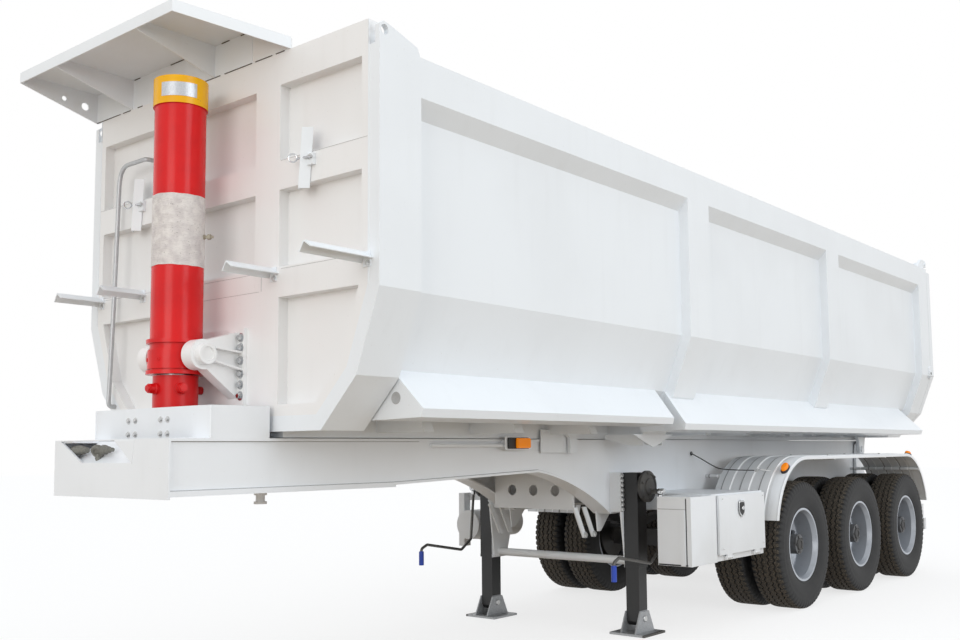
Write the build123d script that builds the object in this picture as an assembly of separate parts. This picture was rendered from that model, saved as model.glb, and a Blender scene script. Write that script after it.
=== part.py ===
from build123d import *
import math
import os

# Three-axle rear-tipping semi-trailer. Millimetres, +X forward, +Y the trailer's left, +Z up.
# The model is laid out from the middle axle and then moved so that the origin is on the
# ground, at the middle of the overall length and width.

# Wheels and axles
tyre_radius = 522.0
tyre_width = 280.0
tyre_shoulder = 26.0
tread_half_width = 112.0
twin_spacing = 330.0
rim_flange_radius = 298.5
rim_flange_width = 12.0
rim_width = 228.0
rim_seat_radius = 285.0
rim_wall = 9.0
seat_gap = 0.3
disc_thickness = 14.0
disc_bolt_radius = 190.0
disc_cone_radius = 262.0
disc_cone_depth = 95.0
hand_hole_count = 10
hand_hole_radius = 27.0
hand_hole_circle = 225.0
hub_radius = 108.0
hub_cap_radius = 82.0
hub_reach = 240.0
hub_flange_inner = -40.0
axle_spacing = 1310.0
twin_centre_y = 915.0
axle_half_square = 75.0
axle_beam_half = 620.0
spindle_radius = 62.0
spindle_end = 150.0
bearing_gap = 0.3
drum_radius = 200.0
drum_width = 200.0
running_gap = 6.0

# Chassis rails
rail_outer_y = 516.0
rail_flange = 150.0
flange_thickness = 14.0
web_inset = 12.0
web_thickness = 8.0
rail_top = 1390.0
skid_top = 1130.0
neck_rear_bottom = 1172.0
rail_bottom = 850.0
rail_front_x = 6864.0
neck_slope_front_x = 5400.0
neck_foot_x = axle_spacing + 1870.0
neck_slope_rear_x = neck_foot_x + 870.0
front_plate = 12.0
front_plate_bottom = 1106.0
skid_thickness = 12.0
skid_rear_x = 5400.0
kingpin_x = 5950.0
kingpin_radius = 25.4
kingpin_head_radius = 36.0
kingpin_length = 84.0
kingpin_groove = 35.0
holed_plate_x = neck_foot_x + 250.0
holed_plate = 10.0
holed_plate_bottom = 885.0
plate_hole_radius = 40.0
plate_hole_z = 1020.0
plate_hole_y = (-200.0, 0.0, 200.0)
neck_bend_back = 25.0
neck_bend_rise = 42.0
member_half = 40.0
member_web = 6.0
member_flange = 8.0
member_clearance = 60.0
neck_member_x = (4300.0, 5000.0, 5800.0)

# Recess for the couplings in the front plate
recess_top = 1384.0
recess_bottom = 1275.0
recess_far_y = -458.0
recess_width = 508.0
recess_slant = 209.0
recess_depth = 150.0
recess_sheet = 6.0

# Platform that carries the foot of the tipping cylinder
platform_front_x = 6650.0
platform_rear_x = 6300.0
platform_top = 1550.0
platform_wall = 10.0
slot_half_width = 170.0

# Tipping body
half_width = 1270.0
body_front_x = 6272.0
body_rear_x = -(axle_spacing + 795.0)
post_width = 287.0
body_top = 3265.0
knee_upper_z = 2090.0
knee_lower_z = 1680.0
knee_lower_y = half_width - 153.0
floor_z = 1424.0
floor_half = half_width - 403.0
rib_depth = 70.0
sheet = 8.0
rail_recess_z = 3060.0
rail_bevel = 85.0
rib_table = [(2980.0, 3290.0), (490.0, 780.0)]
rear_post_front_x = body_rear_x + 290.0

# Ledges under the side walls: x of the rear end at the wall, rear end at the lip, front end
# at the lip, front end at the wall, and the height of the lip's edge
ledge_table = [(3430.0, 3550.0, 5975.0, 5975.0, 1525.0),
                (body_rear_x + 475.0, body_rear_x + 375.0, 3395.0, 3310.0, 1490.0)]
ledge_top_z = 1722.0
ledge_lip = 42.0
ledge_lip_tuck = 14.0
ledge_under_drop = 8.0

# Lifting lugs on the front corner posts
lug_thickness = 30.0
lug_eye_x = 6237.0
lug_eye_z = 3331.0
lug_eye_radius = 25.0
lug_top = 3372.0
lug_foot_x = 5990.0

# Front wall and canopy
wall_top = 3395.0
wall_frame_depth = 70.0
wall_post_inner = 342.0
wall_post_outer = 540.0
wall_side_inner = half_width - 120.0
wall_rows = [(2820.0, 3220.0), (2262.0, 2665.0), (1560.0, 2107.0)]
canopy_front_x = 6765.0
canopy_top = 3585.0
canopy_sheet = 8.0
canopy_lip = 62.0
canopy_near_y = 300.0
canopy_foot_y = 620.0
canopy_back_sheet = 12.0
canopy_gussets = [-862.0, -40.0]
canopy_eyes = [(6492.0, canopy_top - 83.0, 15.0), (6355.0, canopy_top - 101.0, 24.0)]

# Handrail and lamp brackets on the front wall
handrail_radius = 13.0
handrail_standoff = 45.0
handrail_route = [(-971.0, 1600.0), (-935.0, 2230.0), (-900.0, 3037.0), (-623.0, 3037.0)]
angle_size = 50.0
angle_sheet = 6.0
# y, z and reach of each angle bracket
angle_table = [(-1150.0, 2250.0, 285.0), (-700.0, 2250.0, 270.0), (500.0, 2240.0, 290.0),
               (1190.0, 2235.0, 380.0)]
cleat_table = [(690.0, 820.0, 2630.0, 2940.0), (-820.0, -690.0, 2630.0, 2940.0)]
cleat_depth = 45.0

# Tipping cylinder
cylinder_x = 6505.0
trunnion_z = 1820.0
cover_radius = 133.0
cover_bottom = 1725.0
cover_top = 3290.0
cap_height = 148.0
cap_rim = 8.0
collar_low = 1752.0
collar_high = 1850.0
collar_radius = 144.0
flange_ring_radius = 151.0
flange_ring = 20.0
upper_flange_z = 1905.0
stage_radii = [106.0, 98.0, 90.0, 82.0, 74.0]
base_radius = 115.0
base_top = 1719.0
base_foot = 80.0
stage_wall_gap = 1.0
base_pin_z = 1290.0
base_eye_radius = 60.0
port_z = 1650.0
port_radius = 22.0
port_reach = 42.0
trunnion_radius = 45.0
trunnion_end_y = 250.0
arm_inner_y = 160.0
arm_outer_y = 240.0
arm_eye_radius = 78.0
bracket_half_width = 285.0
bracket_bottom = 1560.0
bracket_top = 1970.0
bracket_plate = 20.0

# Tipping gear at the rear
pivot_x = -(axle_spacing + 540.0)
pivot_z = 1290.0
pivot_radius = 40.0
tip_angle = 40.0
rest_gap = 5.0
pin_gap = 0.5
side_gap = 5.0
pivot_plate = 25.0
pivot_boss_radius = 92.0
lug_plate = 30.0
rail_rear_x = -(axle_spacing + 690.0)
bearer_half = 40.0
beam_half = 60.0
bearer_x = [-1200.0, -500.0, 200.0, 900.0, 1600.0, 2300.0, 3135.0, 3900.0, 4700.0, 5500.0]

# Landing legs
leg_x = axle_spacing + 1800.0
leg_y = 680.0
leg_outer = 120.0
leg_inner = 108.0
leg_top = 1150.0
leg_sleeve_bottom = 470.0
leg_inner_bottom = 60.0
leg_pin_z = 110.0
foot_size = 290.0
foot_plate = 16.0
foot_ear = 10.0
leg_plate = 12.0
leg_plate_bottom = 470.0
gear_z = 1050.0
gear_radius = 92.0
gear_reach = 42.0
crank_radius = 11.0
crank_y = 880.0
crank_bend = 55.0
# x and z of the crank's corners, from the gearbox down to the grip
crank_route = [(leg_x - 25.0, 1013.0), (leg_x + 15.0, 600.0), (leg_x + 135.0, 522.0),
               (leg_x + 540.0, 592.0), (leg_x + 605.0, 565.0), (leg_x + 605.0, 440.0)]
grip_radius = 19.0
grip_length = 105.0
brace_radius = 30.0
brace_z = 510.0

# Mudguards
guard_arc_x = axle_spacing - 20.0
guard_arc_z = 630.0
guard_radius = 617.0
guard_low_z = 750.0
guard_sheet = 5.0
guard_lip = 26.0
guard_inner_y = 650.0
guard_outer_y = 1235.0
bead_height = 6.0
bead_width = 34.0
bead_angles = [18.0, 30.0, 42.0, 54.0, 66.0, 78.0]
stay_radius = 16.0
stay_angle = 50.0

# Springs
spring_y = 441.0
spring_width = 90.0
leaf_thickness = 17.0
leaf_halves = [560.0, 460.0, 340.0, 210.0]
leaf_curve = 2400.0
spring_pad = 16.0
hanger_sheet = 10.0
hanger_gap = 2.0
hanger_front_x = axle_spacing + 620.0
hanger_rear_x = -(axle_spacing + 590.0)
hanger_half_top = 140.0
hanger_half_low = 60.0
hanger_low_z = 640.0
rocker_half = 175.0
rocker_rise = 50.0
rocker_top = 38.0
clamp_bolt_radius = 9.0
clamp_plate = 14.0
rocker_pin_radius = 26.0

# Tool box
box_front_x = leg_x + 110.0
box_rear_x = leg_x - 1070.0
box_top = 985.0
box_bottom = 510.0
box_face_y = 1172.0
box_inner_y = 930.0
box_sheet = 6.0
box_frame = 25.0
door_front_x = box_rear_x + 760.0
door_thickness = 18.0
door_gap = 5.0
door_pin_radius = 6.0
door_barrel_radius = 11.0
door_hinges = [box_rear_x + 150.0, box_rear_x + 610.0]
door_barrel_half = 40.0
door_lug = 15.0
door_clearance = 22.0

# Tailgate
gate_thickness = 100.0
gate_gap = 6.0
gate_top = 3230.0
gate_frame = 90.0
gate_skin = 8.0
gate_hinge_z = 3330.0
gate_pin_radius = 16.0
gate_barrel_radius = 32.0
gate_arm_y = (half_width - 140.0, half_width - 65.0)
gate_ear_y = (half_width - 58.0, half_width - 28.0)
gate_rib_z = [1960.0, 2560.0]

# Rear bar and lamps
bar_half = half_width - 120.0
bar_low = 430.0
bar_high = 550.0
bar_rear_x = -(axle_spacing + 790.0)
bar_depth = 60.0
lamp_box_y = (bar_half - 450.0, bar_half - 20.0)
lamp_box_z = (560.0, 700.0)

# Rack on the right side
rack_face_y = -(half_width - 90.0)
rack_posts = [leg_x - 550.0, leg_x - 220.0]
rack_low = 515.0
rack_high = 960.0
rack_post_width = 80.0
rack_post_depth = 60.0
rack_tank_radius = 120.0
rack_tank_half = 300.0

overall_front_x = rail_front_x + front_plate
overall_rear_x = body_rear_x - gate_gap - gate_thickness
shift_x = -(overall_front_x + overall_rear_x) / 2
rail_inner_y = rail_outer_y - rail_flange
rail_centre_y = rail_outer_y - rail_flange / 2
web_out_y = rail_outer_y - web_inset
web_in_y = web_out_y - web_thickness
bearing_z = rail_top + rest_gap
gate_hinge_x = body_rear_x - gate_gap - gate_thickness / 2


def block(x0, x1, y0, y1, z0, z1):
    """A box between two corners."""
    size = Box(abs(x1 - x0), abs(y1 - y0), abs(z1 - z0))
    return Pos((x0 + x1) / 2, (y0 + y1) / 2, (z0 + z1) / 2) * size


def across(points, x0, x1):
    """A (y, z) outline drawn out along X."""
    face = make_face(Polyline(points, close=True))
    return Pos(x0, 0, 0) * extrude(Plane.YZ * face, amount=x1 - x0)


def side_face(edges, y1):
    """An (x, z) outline stood up at y1."""
    return Plane(origin=(0, y1, 0), x_dir=(1, 0, 0), z_dir=(0, -1, 0)) * make_face(edges)


def along(points, y0, y1):
    """An (x, z) outline drawn out along Y."""
    low, high = sorted((y0, y1))
    return extrude(side_face(Polyline(points, close=True), high), amount=high - low)


def upright(points, z0, z1):
    """An (x, y) outline drawn out along Z."""
    return Pos(0, 0, z0) * extrude(make_face(Polyline(points, close=True)), amount=z1 - z0)


def rod(radius, start, end):
    """A round bar between two points."""
    a, b = Vector(*start), Vector(*end)
    return extrude(Plane(origin=a, z_dir=b - a) * Circle(radius), amount=(b - a).length)


def pipe(radius, inner, start, end):
    """A tube between two points."""
    return rod(radius, start, end) - rod(inner, start, end)


def bent_bar(radius, points, bend):
    """A round bar along straight runs with round bends."""
    path = FilletPolyline(*points, radius=bend)
    first_run = Vector(*points[1]) - Vector(*points[0])
    return sweep(Plane(origin=points[0], z_dir=first_run) * Circle(radius), path=path)


def mirror_y(solid):
    """The same piece on the other side."""
    return mirror(solid, about=Plane.XZ)


def joined(pieces):
    """One shape from pieces that touch or overlap."""
    whole = pieces[0]
    for piece in pieces[1:]:
        whole = whole + piece
    return whole


def on_side(solid, side):
    """A piece drawn on the left, kept there or mirrored to the right."""
    return solid if side > 0 else mirror_y(solid)


def outer_line():
    """Left half of the body's outer section, from the top rail to the floor."""
    return [(half_width, body_top), (half_width, knee_upper_z), (knee_lower_y, knee_lower_z),
            (floor_half, floor_z)]


def hull_points(offset):
    """Upper knee, lower knee and floor corner of the section moved inward by offset."""
    slope = math.atan2(half_width - knee_lower_y, knee_upper_z - knee_lower_z)
    chamfer = math.atan2(knee_lower_y - floor_half, knee_lower_z - floor_z)
    upper_shift = offset * math.tan(slope / 2)
    lower_shift = offset * math.tan((chamfer - slope) / 2)
    floor_shift = offset * math.tan((math.pi / 2 - chamfer) / 2)
    upper = (half_width - offset, knee_upper_z + upper_shift)
    lower = (
        knee_lower_y - offset * math.cos(slope) + lower_shift * math.sin(slope),
        knee_lower_z + offset * math.sin(slope) + lower_shift * math.cos(slope),
    )
    foot = (floor_half - floor_shift, floor_z + offset)
    return upper, lower, foot


def y_at(z, low, high):
    """The y of a slanted section line at a height."""
    return low[0] + (high[0] - low[0]) * (z - low[1]) / (high[1] - low[1])


# Wheels
def tyre_pair(side, axle_x):
    """Two tyres on one hub, each a ring with crowned shoulders over its beads."""
    half = tyre_width / 2
    bead = rim_width / 2 - 2 * rim_flange_width
    belly = (rim_flange_radius + tyre_radius) / 2
    profile = [(bead, rim_seat_radius + seat_gap), (half, belly),
               (half - 8, tyre_radius - 2 * tyre_shoulder),
               (tread_half_width, tyre_radius)]
    outline = profile + [(-u, r) for u, r in reversed(profile)]
    ring = Rot(0, 0, 90) * revolve(make_face(Polyline(outline, close=True)), axis=Axis.X)
    pieces = []
    for offset in (-twin_spacing / 2, twin_spacing / 2):
        pieces.append(Pos(axle_x, side * (twin_centre_y + offset), tyre_radius) * ring)
    return Compound(pieces)


def wheel_pair(side, axle_x):
    """Two dished disc wheels back to back with their hub, all one turning piece."""
    half = rim_width / 2
    lip = half - rim_flange_width
    well = rim_seat_radius - 2 * rim_wall
    rim_outline = [
        (-half, rim_flange_radius), (-lip, rim_flange_radius), (-lip, rim_seat_radius),
        (lip, rim_seat_radius), (lip, rim_flange_radius), (half, rim_flange_radius),
        (half, rim_seat_radius - 4), (lip - 25, well), (-lip + 25, well),
        (-half, rim_seat_radius - 4),
    ]
    rim = revolve(make_face(Polyline(rim_outline, close=True)), axis=Axis.X)
    face_u = -twin_spacing / 2
    cone_u = face_u + disc_cone_depth
    disc_outline = [
        (face_u, hub_radius - 20), (face_u, disc_bolt_radius), (cone_u, disc_cone_radius),
        (cone_u, well + 4), (cone_u + disc_thickness, well + 4),
        (cone_u + disc_thickness, disc_cone_radius - 6),
        (face_u + disc_thickness, disc_bolt_radius - 6), (face_u + disc_thickness, hub_radius - 20),
    ]
    disc = revolve(make_face(Polyline(disc_outline, close=True)), axis=Axis.X)
    outer_disc = disc
    for i in range(hand_hole_count):
        angle = 2 * math.pi * (i + 0.5) / hand_hole_count
        y, z = hand_hole_circle * math.cos(angle), hand_hole_circle * math.sin(angle)
        outer_disc = outer_disc - rod(hand_hole_radius, (face_u - 1, y, z), (cone_u + 20, y, z))
    bore = spindle_radius + bearing_gap
    hub_outline = [
        (hub_flange_inner, bore), (hub_flange_inner, disc_bolt_radius - 15),
        (-disc_thickness, disc_bolt_radius - 15), (-disc_thickness, hub_radius - 20),
        (disc_thickness, hub_radius - 20), (disc_thickness, hub_radius),
        (hub_reach - 70, hub_cap_radius), (hub_reach, hub_cap_radius), (hub_reach, 0),
        (hub_reach - 20, 0), (hub_reach - 20, bore),
    ]
    hub = revolve(make_face(Polyline(hub_outline, close=True)), axis=Axis.X)
    whole = (Pos(twin_spacing / 2, 0, 0) * (rim + outer_disc)
             + Pos(-twin_spacing / 2, 0, 0) * (Rot(0, 0, 180) * (rim + disc)) + hub)
    turn = Rot(0, 0, 90 * side)
    return Pos(axle_x, side * twin_centre_y, tyre_radius) * (turn * whole)


def axle(axle_x):
    """Square axle beam with round spindles and brake drums behind the wheels."""
    inner_end = twin_centre_y + hub_flange_inner - running_gap
    pieces = [block(axle_x - axle_half_square, axle_x + axle_half_square, -axle_beam_half,
                    axle_beam_half, tyre_radius - axle_half_square,
                    tyre_radius + axle_half_square)]
    for side in (-1, 1):
        pieces.append(rod(spindle_radius, (axle_x, side * (axle_beam_half - 20), tyre_radius),
                          (axle_x, side * (twin_centre_y + spindle_end), tyre_radius)))
        pieces.append(rod(drum_radius, (axle_x, side * (inner_end - drum_width), tyre_radius),
                          (axle_x, side * inner_end, tyre_radius)))
    return joined(pieces)


# Chassis
def rail_outline(inset):
    """Side outline of a rail: gooseneck, foot and the rear end rounded about the pivot."""
    top = rail_top - inset
    radius = rail_top - pivot_z - inset
    angle = math.radians(tip_angle)
    crest = (pivot_x, top)
    half_way = (pivot_x - radius * math.sin(angle / 2), pivot_z + radius * math.cos(angle / 2))
    tangent = (pivot_x - radius * math.sin(angle), pivot_z + radius * math.cos(angle))
    drop = (tangent[0] - rail_rear_x) * math.tan(angle)
    rear_top = (rail_rear_x, tangent[1] - drop)
    rear_low = (rail_rear_x, rail_bottom + inset)
    foot = (neck_foot_x + inset, rail_bottom + inset)
    shoulder = (neck_slope_rear_x, neck_rear_bottom + inset)
    bend = ((foot[0] + shoulder[0]) / 2 - neck_bend_back,
            (foot[1] + shoulder[1]) / 2 + neck_bend_rise)
    return [
        Line((rail_front_x, top), crest), ThreePointArc(crest, half_way, tangent),
        Line(tangent, rear_top), Line(rear_top, rear_low), Line(rear_low, foot),
        ThreePointArc(foot, bend, shoulder),
        Line(shoulder, (neck_slope_front_x, skid_top + inset)),
        Line((neck_slope_front_x, skid_top + inset), (rail_front_x, skid_top + inset)),
        Line((rail_front_x, skid_top + inset), (rail_front_x, top)),
    ]


def main_rail(side):
    """Channel rail: the web stands close to the outer edge of its flanges."""
    solid = extrude(side_face(rail_outline(0), rail_outer_y), amount=rail_flange)
    pocket = side_face(rail_outline(flange_thickness), rail_outer_y)
    outer = extrude(pocket, amount=web_inset)
    inner = extrude(side_face(rail_outline(flange_thickness), web_in_y),
                    amount=web_in_y - rail_inner_y)
    return on_side(solid - outer - inner, side)


def cross_members():
    """Members between the rails and the holed plate behind the gooseneck."""
    pieces = []
    low, high = rail_bottom + member_clearance, rail_top - member_clearance
    rear_member_x = -axle_spacing - 90
    for x in (rear_member_x, 0, axle_spacing, leg_x - 810, leg_x):
        pieces.append(channel(x, web_in_y, low, high))
    for x in neck_member_x:
        pieces.append(channel(x, web_in_y, neck_rear_bottom + member_clearance / 2, high))
    half = holed_plate / 2
    plate = block(holed_plate_x - half, holed_plate_x + half, -rail_inner_y, rail_inner_y,
                  holed_plate_bottom, high)
    for y in plate_hole_y:
        plate = plate - rod(plate_hole_radius, (holed_plate_x - holed_plate, y, plate_hole_z),
                            (holed_plate_x + holed_plate, y, plate_hole_z))
    pieces.append(plate)
    return Compound(pieces)


def channel(x, reach, low, high):
    """One channel section member across the frame."""
    outer = block(x - member_half, x + member_half, -reach, reach, low, high)
    hollow = block(x - member_half + member_web, x + member_half + 1, -reach - 1, reach + 1,
                   low + member_flange, high - member_flange)
    return outer - hollow


def front_end():
    """Front plate with its coupling recess, skid plate and kingpin."""
    face_x = rail_front_x + front_plate
    plate = block(rail_front_x, face_x, -rail_outer_y, rail_outer_y, front_plate_bottom, rail_top)
    mouth = [(recess_far_y, recess_top), (recess_far_y + recess_width, recess_top),
             (recess_far_y + recess_width + recess_slant * 0.8, recess_bottom),
             (recess_far_y + recess_slant, recess_bottom)]
    plate = plate - across(mouth, rail_front_x - 1, face_x + 1)
    slope = along([(rail_front_x, recess_bottom - recess_sheet), (rail_front_x, recess_bottom),
                   (rail_front_x - recess_depth, recess_top),
                   (rail_front_x - recess_depth, recess_top - recess_sheet)],
                  -rail_inner_y + 1, rail_inner_y - 1)
    skid = block(skid_rear_x, rail_front_x, -rail_outer_y, rail_outer_y,
                 skid_top - skid_thickness, skid_top)
    top = skid_top - skid_thickness
    pin = rod(kingpin_head_radius, (kingpin_x, 0, top), (kingpin_x, 0, top - kingpin_length))
    groove = pipe(kingpin_head_radius + 5, kingpin_radius, (kingpin_x, 0, top - kingpin_groove),
                  (kingpin_x, 0, top - 2 * kingpin_groove))
    return joined([plate, slope, skid, pin - groove])


def platform():
    """Open box on the gooseneck that the cylinder foot stands in."""
    wall = platform_wall
    outer = block(platform_rear_x, platform_front_x, -rail_outer_y, rail_outer_y,
                  rail_top, platform_top)
    inner = block(platform_rear_x + wall, platform_front_x - wall, -rail_outer_y + wall,
                  rail_outer_y - wall, rail_top - 1, platform_top - wall)
    mouth = block(platform_rear_x - 1, platform_front_x - wall, -slot_half_width,
                  slot_half_width, rail_top - 1, platform_top + 1)
    seat = block(platform_rear_x, platform_front_x, -rail_inner_y, rail_inner_y,
                 rail_top - wall, rail_top)
    well = block(platform_rear_x - 1, cylinder_x + 130, -base_radius - side_gap,
                 base_radius + side_gap, rail_top - wall - 1, rail_top + 1)
    return joined([outer - inner - mouth, seat - well])


def landing_leg(side):
    """Leg tubes, foot, gearbox, crank and the plate that holds the leg to the rail."""
    y, half, inner = leg_y, leg_outer / 2, leg_inner / 2
    pieces = [
        block(leg_x - half, leg_x + half, y - half, y + half, leg_sleeve_bottom, leg_top),
        block(leg_x - inner, leg_x + inner, y - inner, y + inner, leg_inner_bottom + 30,
              leg_sleeve_bottom),
        rod(inner, (leg_x, y - inner, leg_pin_z), (leg_x, y + inner, leg_pin_z)),
        block(leg_x - foot_size / 2, leg_x + foot_size / 2, y - foot_size / 2,
              y + foot_size / 2, 0, foot_plate),
        rod(gear_radius, (leg_x - 25, y + half, gear_z),
            (leg_x - 25, y + half + gear_reach, gear_z)),
    ]
    ear = [(leg_x - foot_size / 2 + 15, foot_plate), (leg_x + foot_size / 2 - 15, foot_plate),
           (leg_x + half, leg_pin_z + 50), (leg_x - half, leg_pin_z + 50)]
    for edge in (y - inner, y + inner + foot_ear):
        pieces.append(along(ear, edge - foot_ear, edge))
    plate_y = y - half
    pieces.append(along([(leg_x - 220, leg_top), (leg_x + 90, leg_top), (leg_x + 90, rail_bottom),
                         (leg_x + 40, leg_plate_bottom), (leg_x - 110, leg_plate_bottom),
                         (leg_x - 220, rail_bottom)], plate_y - leg_plate, plate_y))
    pieces.append(block(leg_x - 110, leg_x + 60, web_out_y, plate_y,
                        rail_bottom + flange_thickness, leg_top))
    shaft_x, shaft_z = crank_route[0]
    pieces.append(rod(16, (shaft_x, y + half, shaft_z), (shaft_x, crank_y + 20, shaft_z)))
    route = [(x, crank_y, z) for x, z in crank_route]
    pieces.append(bent_bar(crank_radius, route, crank_bend / 2))
    grip_x, grip_z = crank_route[-1]
    pieces.append(rod(grip_radius, (grip_x, crank_y, grip_z), (grip_x, crank_y,
                                                            grip_z + grip_length)))
    return on_side(joined(pieces), side)


def leg_brace():
    """Cross tube between the plates of the legs."""
    reach = leg_y - leg_outer / 2 - leg_plate
    return rod(brace_radius, (leg_x - 30, -reach, brace_z), (leg_x - 30, reach, brace_z))


def leaf_pack(axle_x, y):
    """Curved leaves on their pad, the longest on top."""
    seat = tyre_radius + axle_half_square
    width = spring_width / 2
    pieces = [block(axle_x - 75, axle_x + 75, y - width, y + width, seat, seat + spring_pad + 10)]
    count = len(leaf_halves)
    for i, reach in enumerate(leaf_halves):
        base = seat + spring_pad + (count - 1 - i) * leaf_thickness
        rise = reach * reach / (2 * leaf_curve)
        low = [(axle_x - reach, base + rise), (axle_x, base), (axle_x + reach, base + rise)]
        high = [(x, z + leaf_thickness + 1) for x, z in low]
        edges = [ThreePointArc(*low), Line(low[2], high[2]), ThreePointArc(*reversed(high)),
                 Line(high[0], low[0])]
        pieces.append(extrude(side_face(edges, y + width), amount=spring_width))
    cap = seat + spring_pad + count * leaf_thickness
    pieces.append(block(axle_x - 75, axle_x + 75, y - width, y + width, cap - 5, cap + 25))
    clamp_low = seat - 2 * axle_half_square - clamp_plate
    bolt_x = axle_half_square + 2 * clamp_bolt_radius
    for offset in (-bolt_x, bolt_x):
        for edge in (-width - clamp_bolt_radius, width + clamp_bolt_radius):
            pieces.append(rod(clamp_bolt_radius, (axle_x + offset, y + edge, clamp_low - 20),
                              (axle_x + offset, y + edge, cap + 45)))
    reach_x, reach_y = bolt_x + 2 * clamp_bolt_radius, width + 3 * clamp_bolt_radius
    bridge = block(axle_x - reach_x, axle_x + reach_x, y - reach_y, y + reach_y, cap + 20,
                   cap + 20 + clamp_plate)
    saddle = block(axle_x - reach_x, axle_x + reach_x, y - reach_y, y + reach_y, clamp_low,
                   clamp_low + clamp_plate)
    return joined(pieces + [bridge, saddle])


def hanger(x, y, half_top, half_low):
    """Two cheeks under a rail with a cap plate."""
    inner = spring_width / 2 + hanger_gap
    pieces = []
    for side in (-1, 1):
        pieces.append(along([(x - half_top, rail_bottom), (x + half_top, rail_bottom),
                             (x + half_low, hanger_low_z), (x - half_low, hanger_low_z)],
                            y + side * inner, y + side * (inner + hanger_sheet)))
    pieces.append(block(x - half_top, x + half_top, y - inner, y + inner,
                        rail_bottom - hanger_sheet, rail_bottom))
    return pieces


def suspension():
    """Hangers, rockers and leaf springs of both sides."""
    seat = tyre_radius + axle_half_square
    rise = leaf_halves[0] ** 2 / (2 * leaf_curve)
    tip = seat + spring_pad + len(leaf_halves) * leaf_thickness + 1 + rise
    reach = spring_width / 2 + hanger_gap + hanger_sheet + 8
    solids = []
    for side in (-1, 1):
        y = side * spring_y
        for k in (-1, 0, 1):
            solids.append(leaf_pack(k * axle_spacing, y))
        for x in (hanger_front_x, hanger_rear_x):
            frame = hanger(x, y, hanger_half_top, hanger_half_low)
            inward = -1 if x > 0 else 1
            pad_x, pad_z = x + inward * 30, tip + rocker_pin_radius + seat_gap
            pad = rod(rocker_pin_radius, (pad_x, y - reach, pad_z), (pad_x, y + reach, pad_z))
            solids.append(joined(frame + [pad]))
        for x in (-axle_spacing / 2, axle_spacing / 2):
            frame = hanger(x, y, hanger_half_top, hanger_half_low + 10)
            pin_z = tip + rocker_rise
            pin = rod(rocker_pin_radius, (x, y - reach, pin_z), (x, y + reach, pin_z))
            width = spring_width / 2 - 4
            low = tip + seat_gap
            beam = along([(x - rocker_half, low), (x + rocker_half, low),
                          (x + rocker_half, low + 30), (x + 60, pin_z + rocker_top),
                          (x - 60, pin_z + rocker_top), (x - rocker_half, low + 30)],
                         y - width, y + width)
            solids.append(joined(frame + [pin, beam]))
    return Compound(solids)


def guard_edges(radius, low_z):
    """Side line of a guard over three wheels, from its front end to its rear end."""
    points = []
    for end in (1, -1):
        centre_x = end * guard_arc_x
        drop = math.asin((low_z - guard_arc_z) / radius)
        arc = []
        for angle in (drop, (drop + math.pi / 2) / 2, math.pi / 2):
            arc.append((centre_x + end * radius * math.cos(angle),
                        guard_arc_z + radius * math.sin(angle)))
        points.append(arc if end > 0 else arc[::-1])
    front, rear = points
    return [ThreePointArc(*front), Line(front[2], rear[0]), ThreePointArc(*rear)], front[0], rear[2]


def guard_strip(outer_radius, thickness, y0, y1):
    """A strip of the guard's curve between two side planes."""
    upper, front_high, rear_high = guard_edges(outer_radius, guard_low_z)
    lower, front_low, rear_low = guard_edges(outer_radius - thickness, guard_low_z)
    face = side_face(upper + lower + [Line(front_high, front_low), Line(rear_high, rear_low)], y1)
    return extrude(face, amount=y1 - y0)


def mudguard(side):
    """Long guard over three axles with a turned edge, pressed beads and its stays."""
    pieces = [
        guard_strip(guard_radius, guard_sheet, guard_inner_y, guard_outer_y),
        guard_strip(guard_radius - guard_sheet + 1, guard_lip, guard_outer_y - guard_sheet,
                    guard_outer_y),
    ]
    for end in (1, -1):
        for degrees in bead_angles:
            bead = Box(bead_height + 2, guard_outer_y - guard_inner_y - 60, bead_width)
            middle_y = (guard_outer_y + guard_inner_y) / 2
            reach = guard_radius + bead_height / 2 - 1
            angle = math.radians(degrees)
            place = Pos(end * (guard_arc_x + reach * math.cos(angle)), middle_y,
                        guard_arc_z + reach * math.sin(angle))
            pieces.append(place * (Rot(0, -end * degrees, 0) * bead))
    inner = guard_radius - guard_sheet - stay_radius + 1
    angle = math.radians(stay_angle)
    flat_z = guard_arc_z + inner
    slope_x = guard_arc_x + inner * math.cos(angle)
    slope_z = guard_arc_z + inner * math.sin(angle)
    for x, z in ((slope_x, slope_z), (axle_spacing / 2, flat_z), (-axle_spacing / 2, flat_z),
                 (-slope_x, slope_z)):
        pieces.append(rod(stay_radius, (x, web_out_y, z), (x, guard_outer_y - guard_sheet, z)))
    return on_side(joined(pieces), side)


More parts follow.
